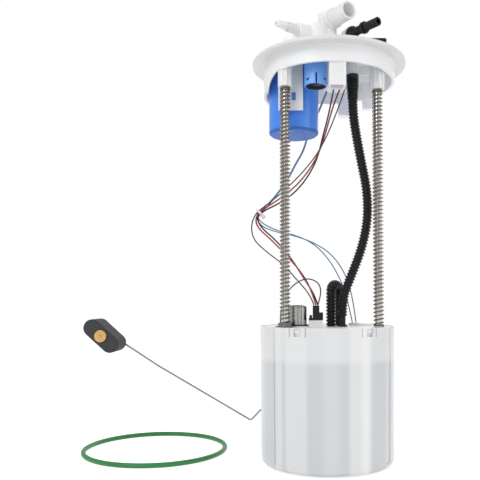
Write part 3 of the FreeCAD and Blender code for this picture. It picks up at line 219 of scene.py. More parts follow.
MILK = milk(0.3, 0.005)
THIN_MILK = milk(0.4, 0.008)
SHEEN = {"Coat_Weight": 0.15, "Coat_Roughness": 0.25}
acetal = moulded("natural_acetal", (0.935, 0.94, 0.955), 0.36, 0.03, **THIN_MILK)
# A copy of the natural acetal for the flange, with painted shade on its lip
acetal_lip_painted_shade = moulded("acetal_lip_painted_shade", (0.935, 0.94, 0.955), 0.36, 0.03, **THIN_MILK)
port_acetal = moulded("port_acetal", (0.90, 0.905, 0.91), 0.42, 0.05, **THIN_MILK)
blue = moulded("blue_acetal", (0.058, 0.26, 0.88), 0.33, 0.08, **SHEEN)
base_blue = moulded("blue_base", (0.055, 0.17, 0.58), 0.5, 0.08, Specular_IOR_Level=0.2)
# Painted light: a lighter copy of the blue acetal for the roll-over cup, standing in for light that
# the flange's skirt shades off it
blue_painted_light = moulded("sky_blue_acetal", (0.17, 0.43, 0.97), 0.33, 0.05, **SHEEN)
black = moulded("black_nylon", (0.0065, 0.0065, 0.007), 0.42, 0.3, Specular_IOR_Level=0.38)
hose_black = moulded("hose_nylon", (0.005, 0.005, 0.0055), 0.42, 0.3, edge=0.0,
                     Specular_IOR_Level=0.35)
boot_black = moulded("shrink_sleeve", (0.0065, 0.0065, 0.007), 0.34, 0.3, ripple=0.00008, edge=0.0)
white_nylon = moulded("white_nylon", (0.78, 0.78, 0.77), 0.45, 0.05, **MILK)

# %% [markdown]
# ## Staves, painted shade and painted light on the cup's wall, painted shade on the lip and in the valve's mouth
# The cup is the largest face in the picture, and its wall shows broad upright bands: thicker
# staves, and the shadow of the pump and the lid's skirt through the milk. Both are painted as a
# pattern round its axis: the staves, and that shadow as painted shade, with painted light on the
# wall towards its rim. The angle round the axis comes from Object coordinates, which here are
# metres in the object's own frame. The same coordinates paint shade on the flange's lip, a little
# greyer than its skirt, and paint the roll-over valve's mouth dark inside its rim.


# %% Cup wall with staves and painted light and shade, painted shade on the lip and in the valve mouth
def from_axis(finish, centre=(0.0, 0.0)):
    """The object's x and y from an upright axis, whose place is in mm, and its z, as sockets."""
    split = finish.node("ShaderNodeSeparateXYZ", {}, {0: finish.place()})
    x, y, z = [Value(finish, split.socket.node.outputs[i]) for i in range(3)]
    return x - centre[0] * MM, y - centre[1] * MM, z


def paint_shade_zone(finish, centre, radii, heights, tone):
    """Paints shade into a finish: mixes a darker tone in, from the first to the second of two radii
    and of two heights.
    """
    x, y, z = from_axis(finish, centre)
    radius = finish.maths("SQRT", x * x + y * y)
    around = finish.fade(radius, radii[0] * MM, radii[1] * MM)
    along = finish.node("ShaderNodeMapRange", {}, {
        "Value": z, "From Min": above(heights[0]), "From Max": above(heights[1])})
    base = Value(finish, finish.shader.inputs["Base Color"].links[0].from_socket)
    finish.feed(finish.shader, {"Base Color": finish.mix(around * along, base, tone)})


FLANGE_AXIS = (2.4, 0.0)
ROLLOVER_AXIS = (-11.5, -37.0)
# Painted shade: the flange's lip greyer than its skirt
paint_shade_zone(acetal_lip_painted_shade, FLANGE_AXIS, (61.6, 63.0), (364.5, 364.9), (0.70, 0.70, 0.695))
# Painted shade: the roll-over valve's mouth dark inside its rim
paint_shade_zone(blue_painted_light, ROLLOVER_AXIS, (9.35, 9.1), (339.2, 338.8), (0.010, 0.014, 0.022))

# Light bands of the wall: thicker staves, and painted light between the painted shade of the pump
# and the lid's skirt behind it; in degrees round its axis from the front:
# middle, half width, softness of the edges, lightness
STAVE_AND_PAINTED_LIGHT_BANDS = ((-90, 20, 8, 0.22), (-46.5, 4, 1.5, 0.42), (-29, 9.5, 2.5, 0.38), (0, 6, 5, 0.18),
          (24, 9.5, 2.5, 0.42), (29, 4, 5, 0.40), (57, 3.5, 1.5, 0.18), (90, 20, 8, 0.22))
# Painted shade: the wall's darkest tone, between the light bands
PAINTED_SHADE_BETWEEN_BANDS = 0.11
CLOUDINESS = 0.1
# Painted light: the wall is painted lighter from these heights up to its rim
PAINTED_LIGHT_HEIGHTS = (88, 96)        # the wall gets lighter between these heights, up to its rim
PAINTED_LIGHT_STRENGTH = 0.42


def cup_finish():
    finish = Finish("cup_acetal", (0.80, 0.81, 0.83), 0.34, **MILK)
    x, y, z = from_axis(finish)
    turn = finish.maths("ARCTAN2", x, 0 - y) * math.degrees(1)
    shade = finish.noise(9.0, 2.0) * CLOUDINESS + (PAINTED_SHADE_BETWEEN_BANDS - CLOUDINESS / 2)
    for middle, half, soft, light in STAVE_AND_PAINTED_LIGHT_BANDS:
        away = finish.maths("ABSOLUTE", turn - middle)
        shade = shade + finish.fade(away, half + soft, half - soft, light)
    # Painted light: the wall painted lighter towards its rim
    painted_upper_light = finish.fade(z, above(PAINTED_LIGHT_HEIGHTS[0]), above(PAINTED_LIGHT_HEIGHTS[1]), PAINTED_LIGHT_STRENGTH)
    shade = shade + painted_upper_light * (1 - shade)
    # The wall's colour runs from its darkest, painted shade, to its lightest bands
    colour = finish.mix(shade, (0.60, 0.62, 0.65), (0.94, 0.945, 0.95))
    skin = finish.noise(200.0, 5.0)
    finish.feed(finish.shader, {"Base Color": colour, "Roughness": skin * 0.14 + 0.27})
    finish.bump(skin, 0.00002, edge=0.0005)
    return finish


cup_acetal = cup_finish()

# %% [markdown]
# ## Metals
# Drawn and ground steel reflects the room in streaks along the way it was worked. Stretching a
# noise along one axis gives such streaks to both the roughness and the bump.


# %% Steel, brass and copper
def metal(name, colour, roughness, stretch, edge=0.0002):
    """Worked metal: its streaks run along the axis where stretch is small."""
    finish = Finish(name, colour, roughness, Metallic=1.0)
    streak = finish.noise(600.0, 4.0, stretch=stretch)
    finish.feed(finish.shader, {"Roughness": streak * 0.18 + (roughness - 0.09)})
    worn = tuple(c * 0.82 for c in colour)
    finish.feed(finish.shader, {"Base Color": finish.mix(finish.noise(45.0), worn, colour)})
    finish.bump(streak, 0.000006, edge=edge)
    return finish


ground_steel = metal("ground_steel", (0.74, 0.73, 0.71), 0.16, (1.0, 1.0, 0.04))
spring_steel = metal("spring_steel", (0.215, 0.185, 0.155), 0.22, (1.0, 1.0, 1.0), edge=0.0)
dark_steel = metal("blackened_steel", (0.07, 0.067, 0.062), 0.40, (1.0, 1.0, 1.0))
tinned_steel = metal("tinned_steel", (0.23, 0.215, 0.19), 0.32, (1.0, 1.0, 1.0))
can_steel = metal("drawn_can", (0.46, 0.455, 0.45), 0.24, (1.0, 1.0, 0.03))
arm_steel = metal("arm_wire_steel", (0.42, 0.42, 0.41), 0.25, (0.05, 1.0, 0.05))
brass = metal("turned_brass", (0.72, 0.42, 0.16), 0.26, (1.0, 0.1, 1.0))
copper = metal("copper_winding", (0.60, 0.27, 0.12), 0.34, (1.0, 1.0, 0.2))

# %% [markdown]
# ## Rubber, foam, ceramic and mesh
# The float is closed-cell nitrile, cut from a block, so its skin is full of tiny cells. The ring is
# a smooth fluorocarbon rubber. The filter is woven, which two crossed waves give.


# %% Soft and matt finishes
def cellular():
    """Foam with a grainy skin of small open cells."""
    finish = Finish("float_foam", (0.034, 0.036, 0.039), 0.82)
    cells = finish.node("ShaderNodeTexVoronoi", {}, {"Vector": finish.place(), "Scale": 1300.0})
    grain = finish.noise(420.0, 6.0)
    tone = finish.mix(grain, (0.020, 0.021, 0.023), (0.060, 0.063, 0.067))
    finish.feed(finish.shader, {"Base Color": tone, "Roughness": grain * 0.2 + 0.7})
    finish.bump(cells + grain, 0.00009, edge=0.0008)
    return finish


def rubber(name, colour, roughness):
    """Rubber with a lighter bloom on it."""
    finish = Finish(name, colour, roughness, Specular_IOR_Level=0.45)
    bloom = finish.noise(60.0, 5.0)
    lighter = tuple(c * 1.35 + 0.004 for c in colour)
    finish.feed(finish.shader, {"Base Color": finish.mix(bloom, colour, lighter)})
    finish.feed(finish.shader, {"Roughness": bloom * 0.25 + (roughness - 0.12)})
    finish.bump(finish.noise(900.0, 3.0), 0.00002)
    return finish


def woven():
    """Filter cloth: two crossed waves."""
    finish = Finish("filter_mesh", (0.70, 0.71, 0.69), 0.6)
    bands = [finish.node("ShaderNodeTexWave", {"bands_direction": axis}, {
        "Vector": finish.place(), "Scale": 260.0}, "Fac") for axis in ("X", "Y")]
    cloth = bands[0] * bands[1]
    tone = finish.mix(cloth, (0.30, 0.31, 0.30), (0.74, 0.75, 0.73))
    finish.feed(finish.shader, {"Base Color": tone})
    finish.bump(cloth, 0.0002)
    return finish


def sprayed(name, colour, roughness):
    """Dull and slightly uneven: fired ceramic, ferrite, insulation."""
    finish = Finish(name, colour, roughness)
    grain = finish.noise(320.0, 6.0)
    darker = tuple(c * 0.8 for c in colour)
    finish.feed(finish.shader, {"Base Color": finish.mix(grain, darker, colour)})
    finish.bump(grain, 0.00003)
    return finish


foam = cellular()
green = rubber("green_rubber", (0.020, 0.185, 0.045), 0.38)
grey_rubber = rubber("grey_rubber", (0.06, 0.06, 0.065), 0.55)
pale_rubber = rubber("pale_rubber", (0.55, 0.56, 0.57), 0.5)
mesh_cloth = woven()
ceramic = sprayed("fired_ceramic", (0.72, 0.70, 0.64), 0.55)
ferrite = sprayed("ferrite", (0.03, 0.03, 0.032), 0.6)
wire_black = sprayed("insulation_black", (0.012, 0.012, 0.012), 0.35)
wire_red = sprayed("insulation_red", (0.42, 0.020, 0.028), 0.35)
wire_grey = sprayed("insulation_grey", (0.033, 0.030, 0.030), 0.35)
wire_blue = sprayed("insulation_blue", (0.12, 0.25, 0.42), 0.35)

# %% [markdown]
# ## A finish for every solid
# The solids that stay in view only need a material on their own slots. The hidden ones get theirs
# too, because the part may be opened or cut elsewhere, and so do those that a new piece replaces.

# %% Dress the solids
FINISHES = {
    acetal: ("lid",),
    acetal_lip_painted_shade: ("flange",),
    cup_acetal: ("reservoir",),
    port_acetal: ("vapour_port", "vent_nozzle", "supply_nipple", "sender_housing", "jet_pump",
                  "pump_cradle", "vent_float"),
    blue: ("vent_canister",),
    base_blue: ("canister_base",),
    blue_painted_light: ("rollover_cup",),
    black: ("rod_bushings", "pump_connector", "supply_fitting", "pump_outlet_cap",
            "pump_inlet_cover", "impeller", "supply_port", "tank_connector", "sender_hub",
            "rollover_float"),
    hose_black: ("loop_hose", "outlet_tube", "supply_hose"),
    boot_black: ("hose_boot",),
    white_nylon: ("cable_tie",),
    ground_steel: ("guide_rod_left", "guide_rod_right", "rod_stop_clips", "rotor_shaft"),
    spring_steel: ("spring_left", "spring_right"),
    dark_steel: ("regulator_clip",),
    tinned_steel: ("ground_terminal",),
    can_steel: ("regulator_can", "pump_case"),
    arm_steel: ("float_arm_wire",),
    brass: ("float_retainer", "tank_connector_pins"),
    copper: ("armature",),
    foam: ("level_float",),
    green: ("tank_seal_ring",),
    pale_rubber: ("wire_grommet",),
    grey_rubber: ("inlet_valve", "pump_cushion"),
    mesh_cloth: ("base_strainer", "pump_strainer"),
    ceramic: ("sender_card",),
    ferrite: ("pump_magnets",),
    wire_black: ("wire_black",),
    wire_red: ("wire_red",),
    wire_grey: ("wire_grey", "ground_wire"),
    wire_blue: ("sender_wires",),
}
for finish, names in FINISHES.items():
    for name in names:
        solids[name].data.materials.clear()
        solids[name].data.materials.append(finish.material)
print("dressed", sum(len(names) for names in FINISHES.values()), "of", len(solids))

# %% [markdown]
# ## Making a piece
# A new piece is shaped in a bmesh, in metres and in the object's frame, so that its object can sit
# at the origin. One function turns the bmesh into an object with smooth shading up to an angle.
# Spin makes its faces in an order that varies from run to run, so they are sorted first.


# %% Piece and lathe helpers
def mesh_of(name, shape):
    """A mesh whose faces come in the order of their corners."""
    shape.verts.index_update()
    ranked = sorted(shape.faces, key=lambda face: [vert.index for vert in face.verts])
    rank = {face: number for number, face in enumerate(ranked)}
    shape.faces.sort(key=rank.get)
    mesh = bpy.data.meshes.new(name)
    shape.to_mesh(mesh)
    shape.free()
    return mesh


def piece(name, shape, finish, smooth):
    """A new piece of the object, shaded smooth where its faces meet at less than smooth degrees."""
    mesh = mesh_of(name, shape)
    mesh.polygons.foreach_set("use_smooth", [True] * len(mesh.polygons))
    mesh.set_sharp_from_angle(angle=math.radians(smooth))
    mesh.materials.append(finish.material)
    made = add_object(name, mesh)
    return made


def edges_of(verts):
    """The edges at some vertices, each of them once."""
    return list(dict.fromkeys(edge for vert in verts for edge in vert.link_edges))


def chain(shape, points):
    """A chain of edges through (x, y, z) points in millimetres."""
    verts = [shape.verts.new(Vector(point) * MM) for point in points]
    edges = [shape.edges.new(pair) for pair in zip(verts, verts[1:])]
    return verts + edges


def lathe(profile, at, steps):
    """A closed outline of (radius, height) points, spun round the upright line through at."""
    shape = bmesh.new()
    outline = chain(shape, [(r, 0, z + DATUM) for r, z in profile + profile[:1]])
    bmesh.ops.spin(shape, geom=outline, cent=(0, 0, 0), axis=(0, 0, 1), angle=math.tau,
                   steps=steps, use_merge=True)
    bmesh.ops.remove_doubles(shape, verts=shape.verts, dist=1e-6)
    bmesh.ops.recalc_face_normals(shape, faces=shape.faces)
    bmesh.ops.translate(shape, verts=shape.verts, vec=Vector((*at, 0)) * MM)
    return shape


# %% [markdown]
# ## The springs
# Each rod carries a long compression spring. The solids hold it as a plain sleeve, but the open
# coil with the bright rod behind it is what catches the eye. A spin with a step along its axis
# makes a helix, so a small circle of wire is spun for the closed turns at each end, and many times
# between them.

# %% Coil the springs
ROD_LEFT, ROD_RIGHT = (-38.89, -36.01), (44.35, -29.02)
LEFT_FOOT, RIGHT_FOOT = 122.6, 121.5     # on the ground terminal, and on the lid
POST_END = 335.4
WIRE = 1.3
WIRE_SIDES = 8
COIL_MEAN = 4.2
PITCH = 3.48
DEAD_TURNS = 1.5
END_GAP = 0.2
TURN_STEPS = 18


def coil(name, at, foot):
    shape = bmesh.new()
    stand = Matrix.Translation((COIL_MEAN * MM, 0, above(foot + WIRE / 2)))
    ring = bmesh.ops.create_circle(shape, segments=WIRE_SIDES, radius=WIRE / 2 * MM,
                                   matrix=stand @ Matrix.Rotation(math.pi / 2, 4, "X"))
    front = list(ring["verts"]) + edges_of(ring["verts"])
    live_height = POST_END - foot - WIRE * (1 + 2 * DEAD_TURNS) - END_GAP
    turns = round(live_height / PITCH)
    for count, rise in ((DEAD_TURNS, WIRE), (turns, live_height / turns), (DEAD_TURNS, WIRE)):
        steps = int(count * TURN_STEPS)
        spun = bmesh.ops.spin(shape, geom=front, cent=(0, 0, 0), axis=(0, 0, 1),
                              angle=count * math.tau, steps=steps,
                              dvec=(0, 0, rise * count / steps * MM))
        front = spun["geom_last"]
    bmesh.ops.holes_fill(shape, edges=[e for e in shape.edges if e.is_boundary])
    bmesh.ops.remove_doubles(shape, verts=shape.verts, dist=1e-7)
    bmesh.ops.recalc_face_normals(shape, faces=shape.faces)
    bmesh.ops.translate(shape, verts=shape.verts, vec=Vector((*at, 0)) * MM)
    made = piece(name, shape, spring_steel, 60)
    print(name, "turns", turns, "faces", len(made.data.polygons))
    above(foot)
    above(POST_END)
    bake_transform(made)
    return made


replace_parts(coil("coil_left", ROD_LEFT, LEFT_FOOT), "spring_left")
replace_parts(coil("coil_right", ROD_RIGHT, RIGHT_FOOT), "spring_right")

# %% [markdown]
# ## Lines and ribbed hoses
# The hoses are convoluted nylon: rings a few millimetres apart that let them bend without kinking.
# A hose's line is a NURBS curve with the same route points as its solid. One rib is spun from its
# outline, an Array modifier repeats it along the hose's length, and a Curve modifier bends the
# straight tube along the line. Both are applied, so the hose is a plain mesh.


# %% Lines and ribbed hoses
RIB_SIDES = 24
RIB_CREST, RIB_SLOPE = 0.42, 0.12    # of the pitch: a rib's flat top, and each half of its slopes
RIB_ROUND = 0.12


def line(name, points):
    """A smooth centreline that starts and ends at its first and last points."""
    curve = bpy.data.curves.new(name, "CURVE")
    curve.dimensions = "3D"
    spline = curve.splines.new("NURBS")
    spline.points.add(len(points) - 1)
    for control, (x, y, z) in zip(spline.points, points):
        control.co = (x * MM, y * MM, above(z), 1.0)
    spline.order_u = 3
    spline.use_endpoint_u = True
    curve.resolution_u = 14
    return add_object(name, curve)


def solidified(holder):
    """The mesh that an object has once its curve and modifiers are worked out."""
    bpy.context.view_layer.update()
    graph = bpy.context.evaluated_depsgraph_get()
    return bpy.data.meshes.new_from_object(holder.evaluated_get(graph), depsgraph=graph)


def trace(centre):
    """The points of a centreline in order, and its length in metres."""
    points = [vert.co.copy() for vert in solidified(centre).vertices]
    return points, sum((b - a).length for a, b in zip(points, points[1:]))


def ribbed_hose(name, route, outer, root, pitch):
    """A hose with ribs of radius outer on a tube of radius root, and its line and length."""
    centre = line(name + "_line", route)
    points, length = trace(centre)
    ribs = round(length / (pitch * MM))
    pitch = length / ribs / MM
    crest, slope = pitch * RIB_CREST, pitch * RIB_SLOPE
    shoulder = outer - RIB_ROUND
    rib = bmesh.new()
    outline = chain(rib, [(0, 0, root), (pitch - crest - 2 * slope, 0, root),
                          (pitch - crest - slope, 0, shoulder), (pitch - crest, 0, outer),
                          (pitch - 2 * slope, 0, outer), (pitch - slope, 0, shoulder),
                          (pitch, 0, root)])
    bmesh.ops.spin(rib, geom=outline, cent=(0, 0, 0), axis=(1, 0, 0), angle=math.tau,
                   steps=RIB_SIDES, use_merge=True)
    bmesh.ops.recalc_face_normals(rib, faces=rib.faces)
    straight = add_object(name + "_straight", mesh_of(name, rib))
    row = straight.modifiers.new("row", "ARRAY")
    row.count = ribs
    row.use_relative_offset = False
    row.use_constant_offset = True
    row.constant_offset_displace = (pitch * MM, 0, 0)
    row.use_merge_vertices = True
    row.merge_threshold = 1e-5
    follow = straight.modifiers.new("follow", "CURVE")
    follow.object = centre
    follow.deform_axis = "POS_X"
    shape = bmesh.new()
    shape.from_mesh(solidified(straight))
    bpy.data.objects.remove(straight)
    bpy.data.objects.remove(centre)
    bmesh.ops.holes_fill(shape, edges=[e for e in shape.edges if e.is_boundary])
    bmesh.ops.recalc_face_normals(shape, faces=shape.faces)
    made = piece(name, shape, hose_black, 50)
    print(name, "ribs", ribs, "length in mm", round(length / MM, 1),
          "faces", len(made.data.polygons))
    return made, points, length


# %% [markdown]
# ## The supply hose
# It hangs from the boot under the flange in a long bow and ends on the lid's fitting. It is stiff.

# %% Supply hose
BOOT_END, HOSE_END = 329.3, 131.0
SUPPLY_ROUTE = [
    (23.1, -19.5, BOOT_END), (23.3, -19.4, 317.5), (25.6, -18.4, 300.5), (30.8, -17.0, 273.0),
    (36.4, -15.6, 246.0), (37.0, -14.4, 219.0), (31.6, -13.2, 193.0), (21.5, -12.0, 167.0),
    (13.7, -10.2, 147.5), (13.5, -10.0, HOSE_END)]
supply_hose, supply_points, supply_length = ribbed_hose(
    "supply_hose_ribs", SUPPLY_ROUTE, 4.5, 3.6, 2.9)
above(HOSE_END)
above(BOOT_END)
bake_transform(supply_hose)
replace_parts(supply_hose, "supply_hose")

# %% [markdown]
# ## The loop hose and the boot
# A short formed hose joins two spigots of the lid in a tight bend, and shows the same ribs. On the
# supply nipple a black sleeve is shrunk over the hose's end: it has a thick lip at the top and
# takes on the ridges of what is under it, so its outline is turned with a row of fine grooves.

# %% Loop hose and boot
LOOP_A, LOOP_B = (3.5, -5.0), (12.5, 14.0)
LID_TOP, LOOP_MIDDLE, LOOP_CROWN = 121.2, 140.0, 159.8
LOOP_ROUTE = [(*LOOP_A, LID_TOP), (*LOOP_A, LOOP_MIDDLE), (*LOOP_A, LOOP_CROWN),
              (*LOOP_B, LOOP_CROWN), (*LOOP_B, LOOP_MIDDLE), (*LOOP_B, LID_TOP)]
loop_ribs, loop_points, loop_length = ribbed_hose("loop_hose_ribs", LOOP_ROUTE, 4.6, 3.6, 3.1)
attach(loop_ribs, CUP_UNIT)
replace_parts(loop_ribs, "loop_hose")
BOOT_LOW, BOOT_TOP = 329.4, 352.2
BOOT_LIP = 3.0
BOOT_NECK, BOOT_BODY = 4.9, 5.6      # radii under and over the step
STEP_AT, STEP_RUN = 4.0, 8.0         # heights above the boot's lower end
GROOVE_PITCH, GROOVE_DEPTH = 1.6, 0.55
SUPPLY_NIPPLE = (23.1, -19.5)


def boot_profile():
    """The sleeve's outline from the hose up to its lip, with grooves all the way."""
    outline = [(0.5, BOOT_LOW), (4.7, BOOT_LOW)]
    groove = BOOT_LOW + 1.0
    while groove < BOOT_TOP - BOOT_LIP:
        widen = min(max((groove - BOOT_LOW - STEP_AT) / STEP_RUN, 0.0), 1.0)
        radius = BOOT_NECK + (BOOT_BODY - BOOT_NECK) * widen
        outline += [(radius, groove), (radius, groove + 0.6),
                    (radius - GROOVE_DEPTH, groove + 0.95), (radius - GROOVE_DEPTH, groove + 1.25)]
        groove += GROOVE_PITCH
    return outline + [(5.2, BOOT_TOP - 2.4), (5.8, BOOT_TOP - 2.1), (5.8, BOOT_TOP - 0.3),
                      (5.5, BOOT_TOP), (3.5, BOOT_TOP), (3.5, BOOT_LOW + 6.0),
                      (0.5, BOOT_LOW + 6.0)]


sleeve = lathe(boot_profile(), SUPPLY_NIPPLE, 40)
boot = piece("boot_sleeve", sleeve, boot_black, 50)
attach(boot, TOP_UNIT)
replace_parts(boot, "hose_boot")

# %% [markdown]
# ## The wires
# Three wires run to the pump's connector and two blue ones to the level sender. They leave the
# flange, meet at a small white tie on the left, and fan out again. Each is a NURBS line with the
# route points of its solid and a round bevel, made a mesh.

# %% Wires through the tie
TIE_AT = Vector((-62.5, -12.0, 226.0))
TIE_HEADING = Vector((-0.75, 0.0, -0.66)).normalized()
TIE_SIDE = Vector((0, 1, 0))
TIE_UP = TIE_SIDE.cross(TIE_HEADING)
TIE_RUN = 5.0
TIE_PITCH = 1.5
WIRE_FOOT, WIRE_TOP = 124.5, 343.7
THICK, THIN = 1.45, 1.15     # the pump's two supply wires, and the rest


def through_tie(top, low, side, up):
    """A whole route: down to the tie, straight through it at its place there, and on down."""
    middle = TIE_AT + TIE_SIDE * (side * TIE_PITCH) + TIE_UP * (up * TIE_PITCH)
    run = TIE_HEADING * TIE_RUN
    return top + [tuple(middle - run), tuple(middle + run)] + low


def hang(made):
    """Bakes a piece's placement into its mesh."""
    above(WIRE_FOOT)
    above(WIRE_TOP)
    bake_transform(made)


def wire(name, route, finish, diameter, shortens=True):
    centre = line(name + "_line", route)
    points, length = trace(centre)
    centre.data.bevel_depth = diameter / 2 * MM
    centre.data.bevel_resolution = 2
    centre.data.use_fill_caps = True
    shape = bmesh.new()
    shape.from_mesh(solidified(centre))
    bpy.data.objects.remove(centre)
    bmesh.ops.remove_doubles(shape, verts=shape.verts, dist=1e-6)
    bmesh.ops.recalc_face_normals(shape, faces=shape.faces)
    made = piece(name, shape, finish, 60)
    if shortens:
        hang(made)
    else:
        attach(made, CUP_UNIT)
    diameter * MM
    print(name, "length in mm", round(length / MM, 1))
    return made


# name, diameter, finish, slot, place in the tie to its side and upwards, route to and from the tie
WIRES = [
    ("wire_black", THICK, wire_black, "wire_black", -0.55, -1,
     [(6.6, -6, WIRE_TOP), (4.4, -6.5, 331.5), (0.6, -7.3, 314.5), (-4.4, -8.2, 296),
      (-8.8, -8.9, 277), (-18.5, -9.6, 258.5), (-31, -10.4, 243.8), (-45.5, -11.4, 234)],
     [(-61.5, -11.8, 212.5), (-48, -13, 201), (-33.5, -15.5, 184), (-20.5, -17.6, 163),
      (-12.4, -18.8, 150.5), (-9.29, -20.41, 140.9)]),
    ("wire_red", THICK, wire_red, "wire_red", -0.55, 0,
     [(12.7, -9, WIRE_TOP), (8.2, -9, 333), (3.6, -9.6, 319), (-0.9, -10.3, 302.5),
      (-6.4, -10.9, 284.5), (-15.5, -11.5, 267), (-28.5, -12.1, 251), (-43.5, -12.6, 239)],
     [(-65, -13.2, 212.5), (-52.5, -14.8, 201.5), (-37, -17.3, 185.5), (-22.5, -20.3, 168.5),
      (-14.4, -20.8, 152.5), (-11.09, -21.01, 140.9)]),
    ("wire_grey", THIN, wire_grey, "wire_grey", -0.55, 1,
     [(17.2, -12, WIRE_TOP), (13.3, -12.2, 331.5), (7.2, -12.6, 315.5), (0.2, -13, 298.3),
      (-8.8, -13.4, 281), (-20.5, -13.7, 265.8), (-32.8, -13.9, 252.8), (-45, -13.8, 241.5)],
     [(-70.5, -13, 212), (-67.5, -14.6, 200), (-56, -16.2, 189.5), (-40.5, -18.3, 178),
      (-28, -20, 163.5), (-16.4, -21, 150.5), (-12.89, -21.01, 140.9)]),
    ("sense_a", THIN, wire_blue, "wire_blue", 0.55, 0.5,
     [(0.2, 0, WIRE_TOP), (-5, 7, 331), (-12.2, 16.6, 318), (-17.5, 23, 306),
      (-21.6, 20, 291), (-29, 10.5, 277), (-36.8, 3, 260), (-48.6, -5.4, 241.8)],
     [(-61, -9.9, 213.2), (-46, -5, 208.6), (-28, 0.8, 205.4), (-10.5, 6, 199.4),
      (6, 11, 189), (19, 16.5, 171), (26.5, 21.5, 148), (30, 26, 123.9)]),
    ("sense_b", THIN, wire_blue, "wire_blue", 0.55, -0.5,
     [(0.8, 2.4, WIRE_TOP), (-4.4, 9.4, 331), (-11.6, 19, 318), (-16.9, 25.4, 306),
      (-21, 22.4, 291), (-28.4, 12.9, 277), (-36.2, 5.4, 260), (-48, -3, 241.8)],
     [(-58, -7.8, 215), (-44.5, -2.8, 209.8), (-27, 2.9, 206), (-12, 7.8, 199.2),
      (0.5, 11.6, 187.5), (11.5, 15.5, 171), (20.5, 19.5, 150), (26.2, 24, 123.9)]),
]
for name, diameter, finish, slot, side, up, top, low in WIRES:
    made = wire(name + "_lead", through_tie(top, low, side, up), finish, diameter)
    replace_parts(made, "sender_wires" if name.startswith("sense") else name)
GROUND_ROUTE = [
    (-42.99, -28.61, 123.8), (-43.2, -28, 138), (-36.5, -27.6, 155), (-22, -27, 165.5),
    (-9.5, -25.8, 162.5), (-5.8, -24.6, 152), (-9.59, -23.41, 140.9)]
ground_lead = wire("ground_lead", GROUND_ROUTE, wire_grey, THIN, shortens=False)
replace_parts(ground_lead, "ground_wire")

# %% [markdown]
# ## The tie
# A nylon tie holds the five wires: a strap round them, the square head that it was pulled through,
# and the cut end that stands out of the head. It is shaped upright and turned along the wires.

# %% Tie the wires
STRAP = [(2.7, -0.9), (3.0, -1.2), (3.4, -1.2), (3.7, -0.9),
         (3.7, 0.9), (3.4, 1.2), (3.0, 1.2), (2.7, 0.9)]
HEAD = ((3.6, 4.4, 3.4), (-4.9, 0, 0))           # size and middle
CUT_END = ((1.0, 2.2, 2.4), (-5.3, -3.0, 0))
TIE_BEVEL = 0.3
# The lathe lifts its outline by DATUM, so it is taken off to turn the strap round the origin.
tie_shape = lathe([(radius, height - DATUM) for radius, height in STRAP], (0, 0), 32)
for size, middle in (HEAD, CUT_END):
    scale = Matrix.Diagonal([length * MM for length in size] + [1])
    block = bmesh.ops.create_cube(tie_shape, size=1,
                                  matrix=Matrix.Translation(Vector(middle) * MM) @ scale)["verts"]
    bmesh.ops.bevel(tie_shape, geom=edges_of(block), offset=TIE_BEVEL * MM, segments=2,
                    affect="EDGES", profile=0.5)
bmesh.ops.recalc_face_normals(tie_shape, faces=tie_shape.faces)
turn = Vector((0, 0, 1)).rotation_difference(TIE_HEADING).to_matrix()
bmesh.ops.rotate(tie_shape, verts=tie_shape.verts, cent=(0, 0, 0), matrix=turn)
tie_middle = (TIE_AT + Vector((0, 0, DATUM))) * MM
bmesh.ops.translate(tie_shape, verts=tie_shape.verts, vec=tie_middle)
tie = piece("wire_tie", tie_shape, white_nylon, 40)
hang(tie)
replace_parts(tie, "cable_tie")

# %% [markdown]
# ## Floor and light
# The floor and the background are white to the camera and to what mirrors or refracts them, and a
# plain soft level of light falls on the object from the world and two large lamps. The floor adds
# a share of ordinary shading, so that it keeps the object's shadow.


# %% Studio
def background_share(finish, seen, lit):
    """Mixes a shader that the camera and mirrors see with one that lights."""
    path = finish.node("ShaderNodeLightPath")
    sees = path.socket.node.outputs
    mask = Value(finish, sees["Is Camera Ray"]) + Value(finish, sees["Is Glossy Ray"])
    mask = mask + Value(finish, sees["Is Transmission Ray"])
    return finish.node("ShaderNodeMixShader", {}, {0: mask, 1: lit, 2: seen})


def flat_mesh(name, half, finish):
    shape = bmesh.new()
    bmesh.ops.create_grid(shape, x_segments=1, y_segments=1, size=half)
    mesh = mesh_of(name, shape)
    mesh.materials.append(finish.material)
    return mesh


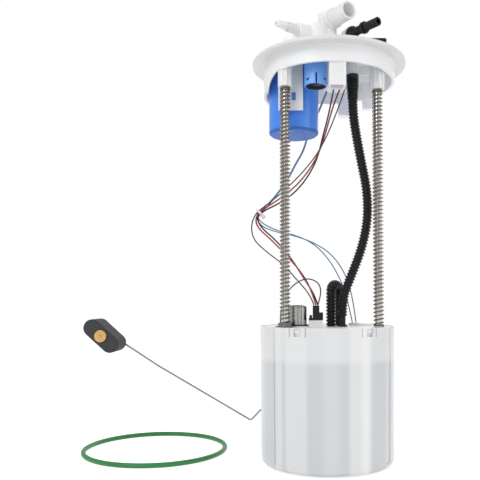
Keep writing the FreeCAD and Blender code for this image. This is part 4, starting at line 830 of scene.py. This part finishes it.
ROOM_LIGHT = 0.62
ground = Finish("studio_floor", (0.9, 0.9, 0.9), 0.9)
glow = ground.node("ShaderNodeEmission", {}, {"Color": (1, 1, 1, 1), "Strength": ROOM_LIGHT})
plain = Value(ground, ground.shader.outputs[0])
both = ground.node("ShaderNodeAddShader", {}, {0: glow, 1: plain})
white = background_share(ground, both, plain)
ground.tree.links.new(white.socket, ground.tree.nodes["Material Output"].inputs["Surface"])
floor = add_object("floor", flat_mesh("floor", 4.0, ground))

sky = bpy.data.worlds.new("studio")
bpy.context.scene.world = sky
sky.use_nodes = True
air = sky.node_tree
room = air.nodes["Background"]
room.inputs["Color"].default_value = (1, 1, 1, 1)
room.inputs["Strength"].default_value = ROOM_LIGHT
seen = air.nodes.new("ShaderNodeBackground")
seen.inputs["Color"].default_value = (1, 1, 1, 1)
seen.inputs["Strength"].default_value = 1.0
path = air.nodes.new("ShaderNodeLightPath")
choose = air.nodes.new("ShaderNodeMixShader")
air.links.new(path.outputs["Is Camera Ray"], choose.inputs[0])
air.links.new(room.outputs[0], choose.inputs[1])
air.links.new(seen.outputs[0], choose.inputs[2])
air.links.new(choose.outputs[0], air.nodes["World Output"].inputs["Surface"])


LAMP_AIM = Vector((0, 0, 0.2))


def lamp(name, where, size, power):
    light = bpy.data.lights.new(name, "AREA")
    light.shape = "RECTANGLE"
    light.size, light.size_y = size
    light.energy = power
    made = add_object(name, light)
    made.location = where
    made.rotation_euler = (LAMP_AIM - Vector(where)).to_track_quat("-Z", "Y").to_euler()


def dark_card(name, where, size):
    """An upright black card that only mirrors see, so that the metals get their dark bands."""
    card = add_object(name, flat_mesh(name, 0.5, Finish(name, (0.015, 0.015, 0.015), 0.9)))
    card.location = where
    card.scale = (*size, 1.0)
    inward = Vector((0, 0, where[2])) - Vector(where)
    card.rotation_euler = inward.to_track_quat("Z", "Y").to_euler()
    card.visible_camera = card.visible_diffuse = False
    card.visible_shadow = card.visible_transmission = False


dark_card("card_left", (-0.75, -0.55, 0.30), (0.30, 1.1))
dark_card("card_right", (0.70, -0.50, 0.30), (0.26, 1.1))
dark_card("card_front", (0.10, -1.30, 0.45), (0.22, 1.3))
lamp("key", (-0.9, -1.0, 1.1), (0.9, 0.9), 9.0)
lamp("fill", (1.2, -0.7, 0.5), (0.6, 1.2), 4.5)
lamp("back", (0.2, 1.2, 0.9), (1.2, 0.8), 5.0)
bpy.context.scene.view_settings.view_transform = "Standard"
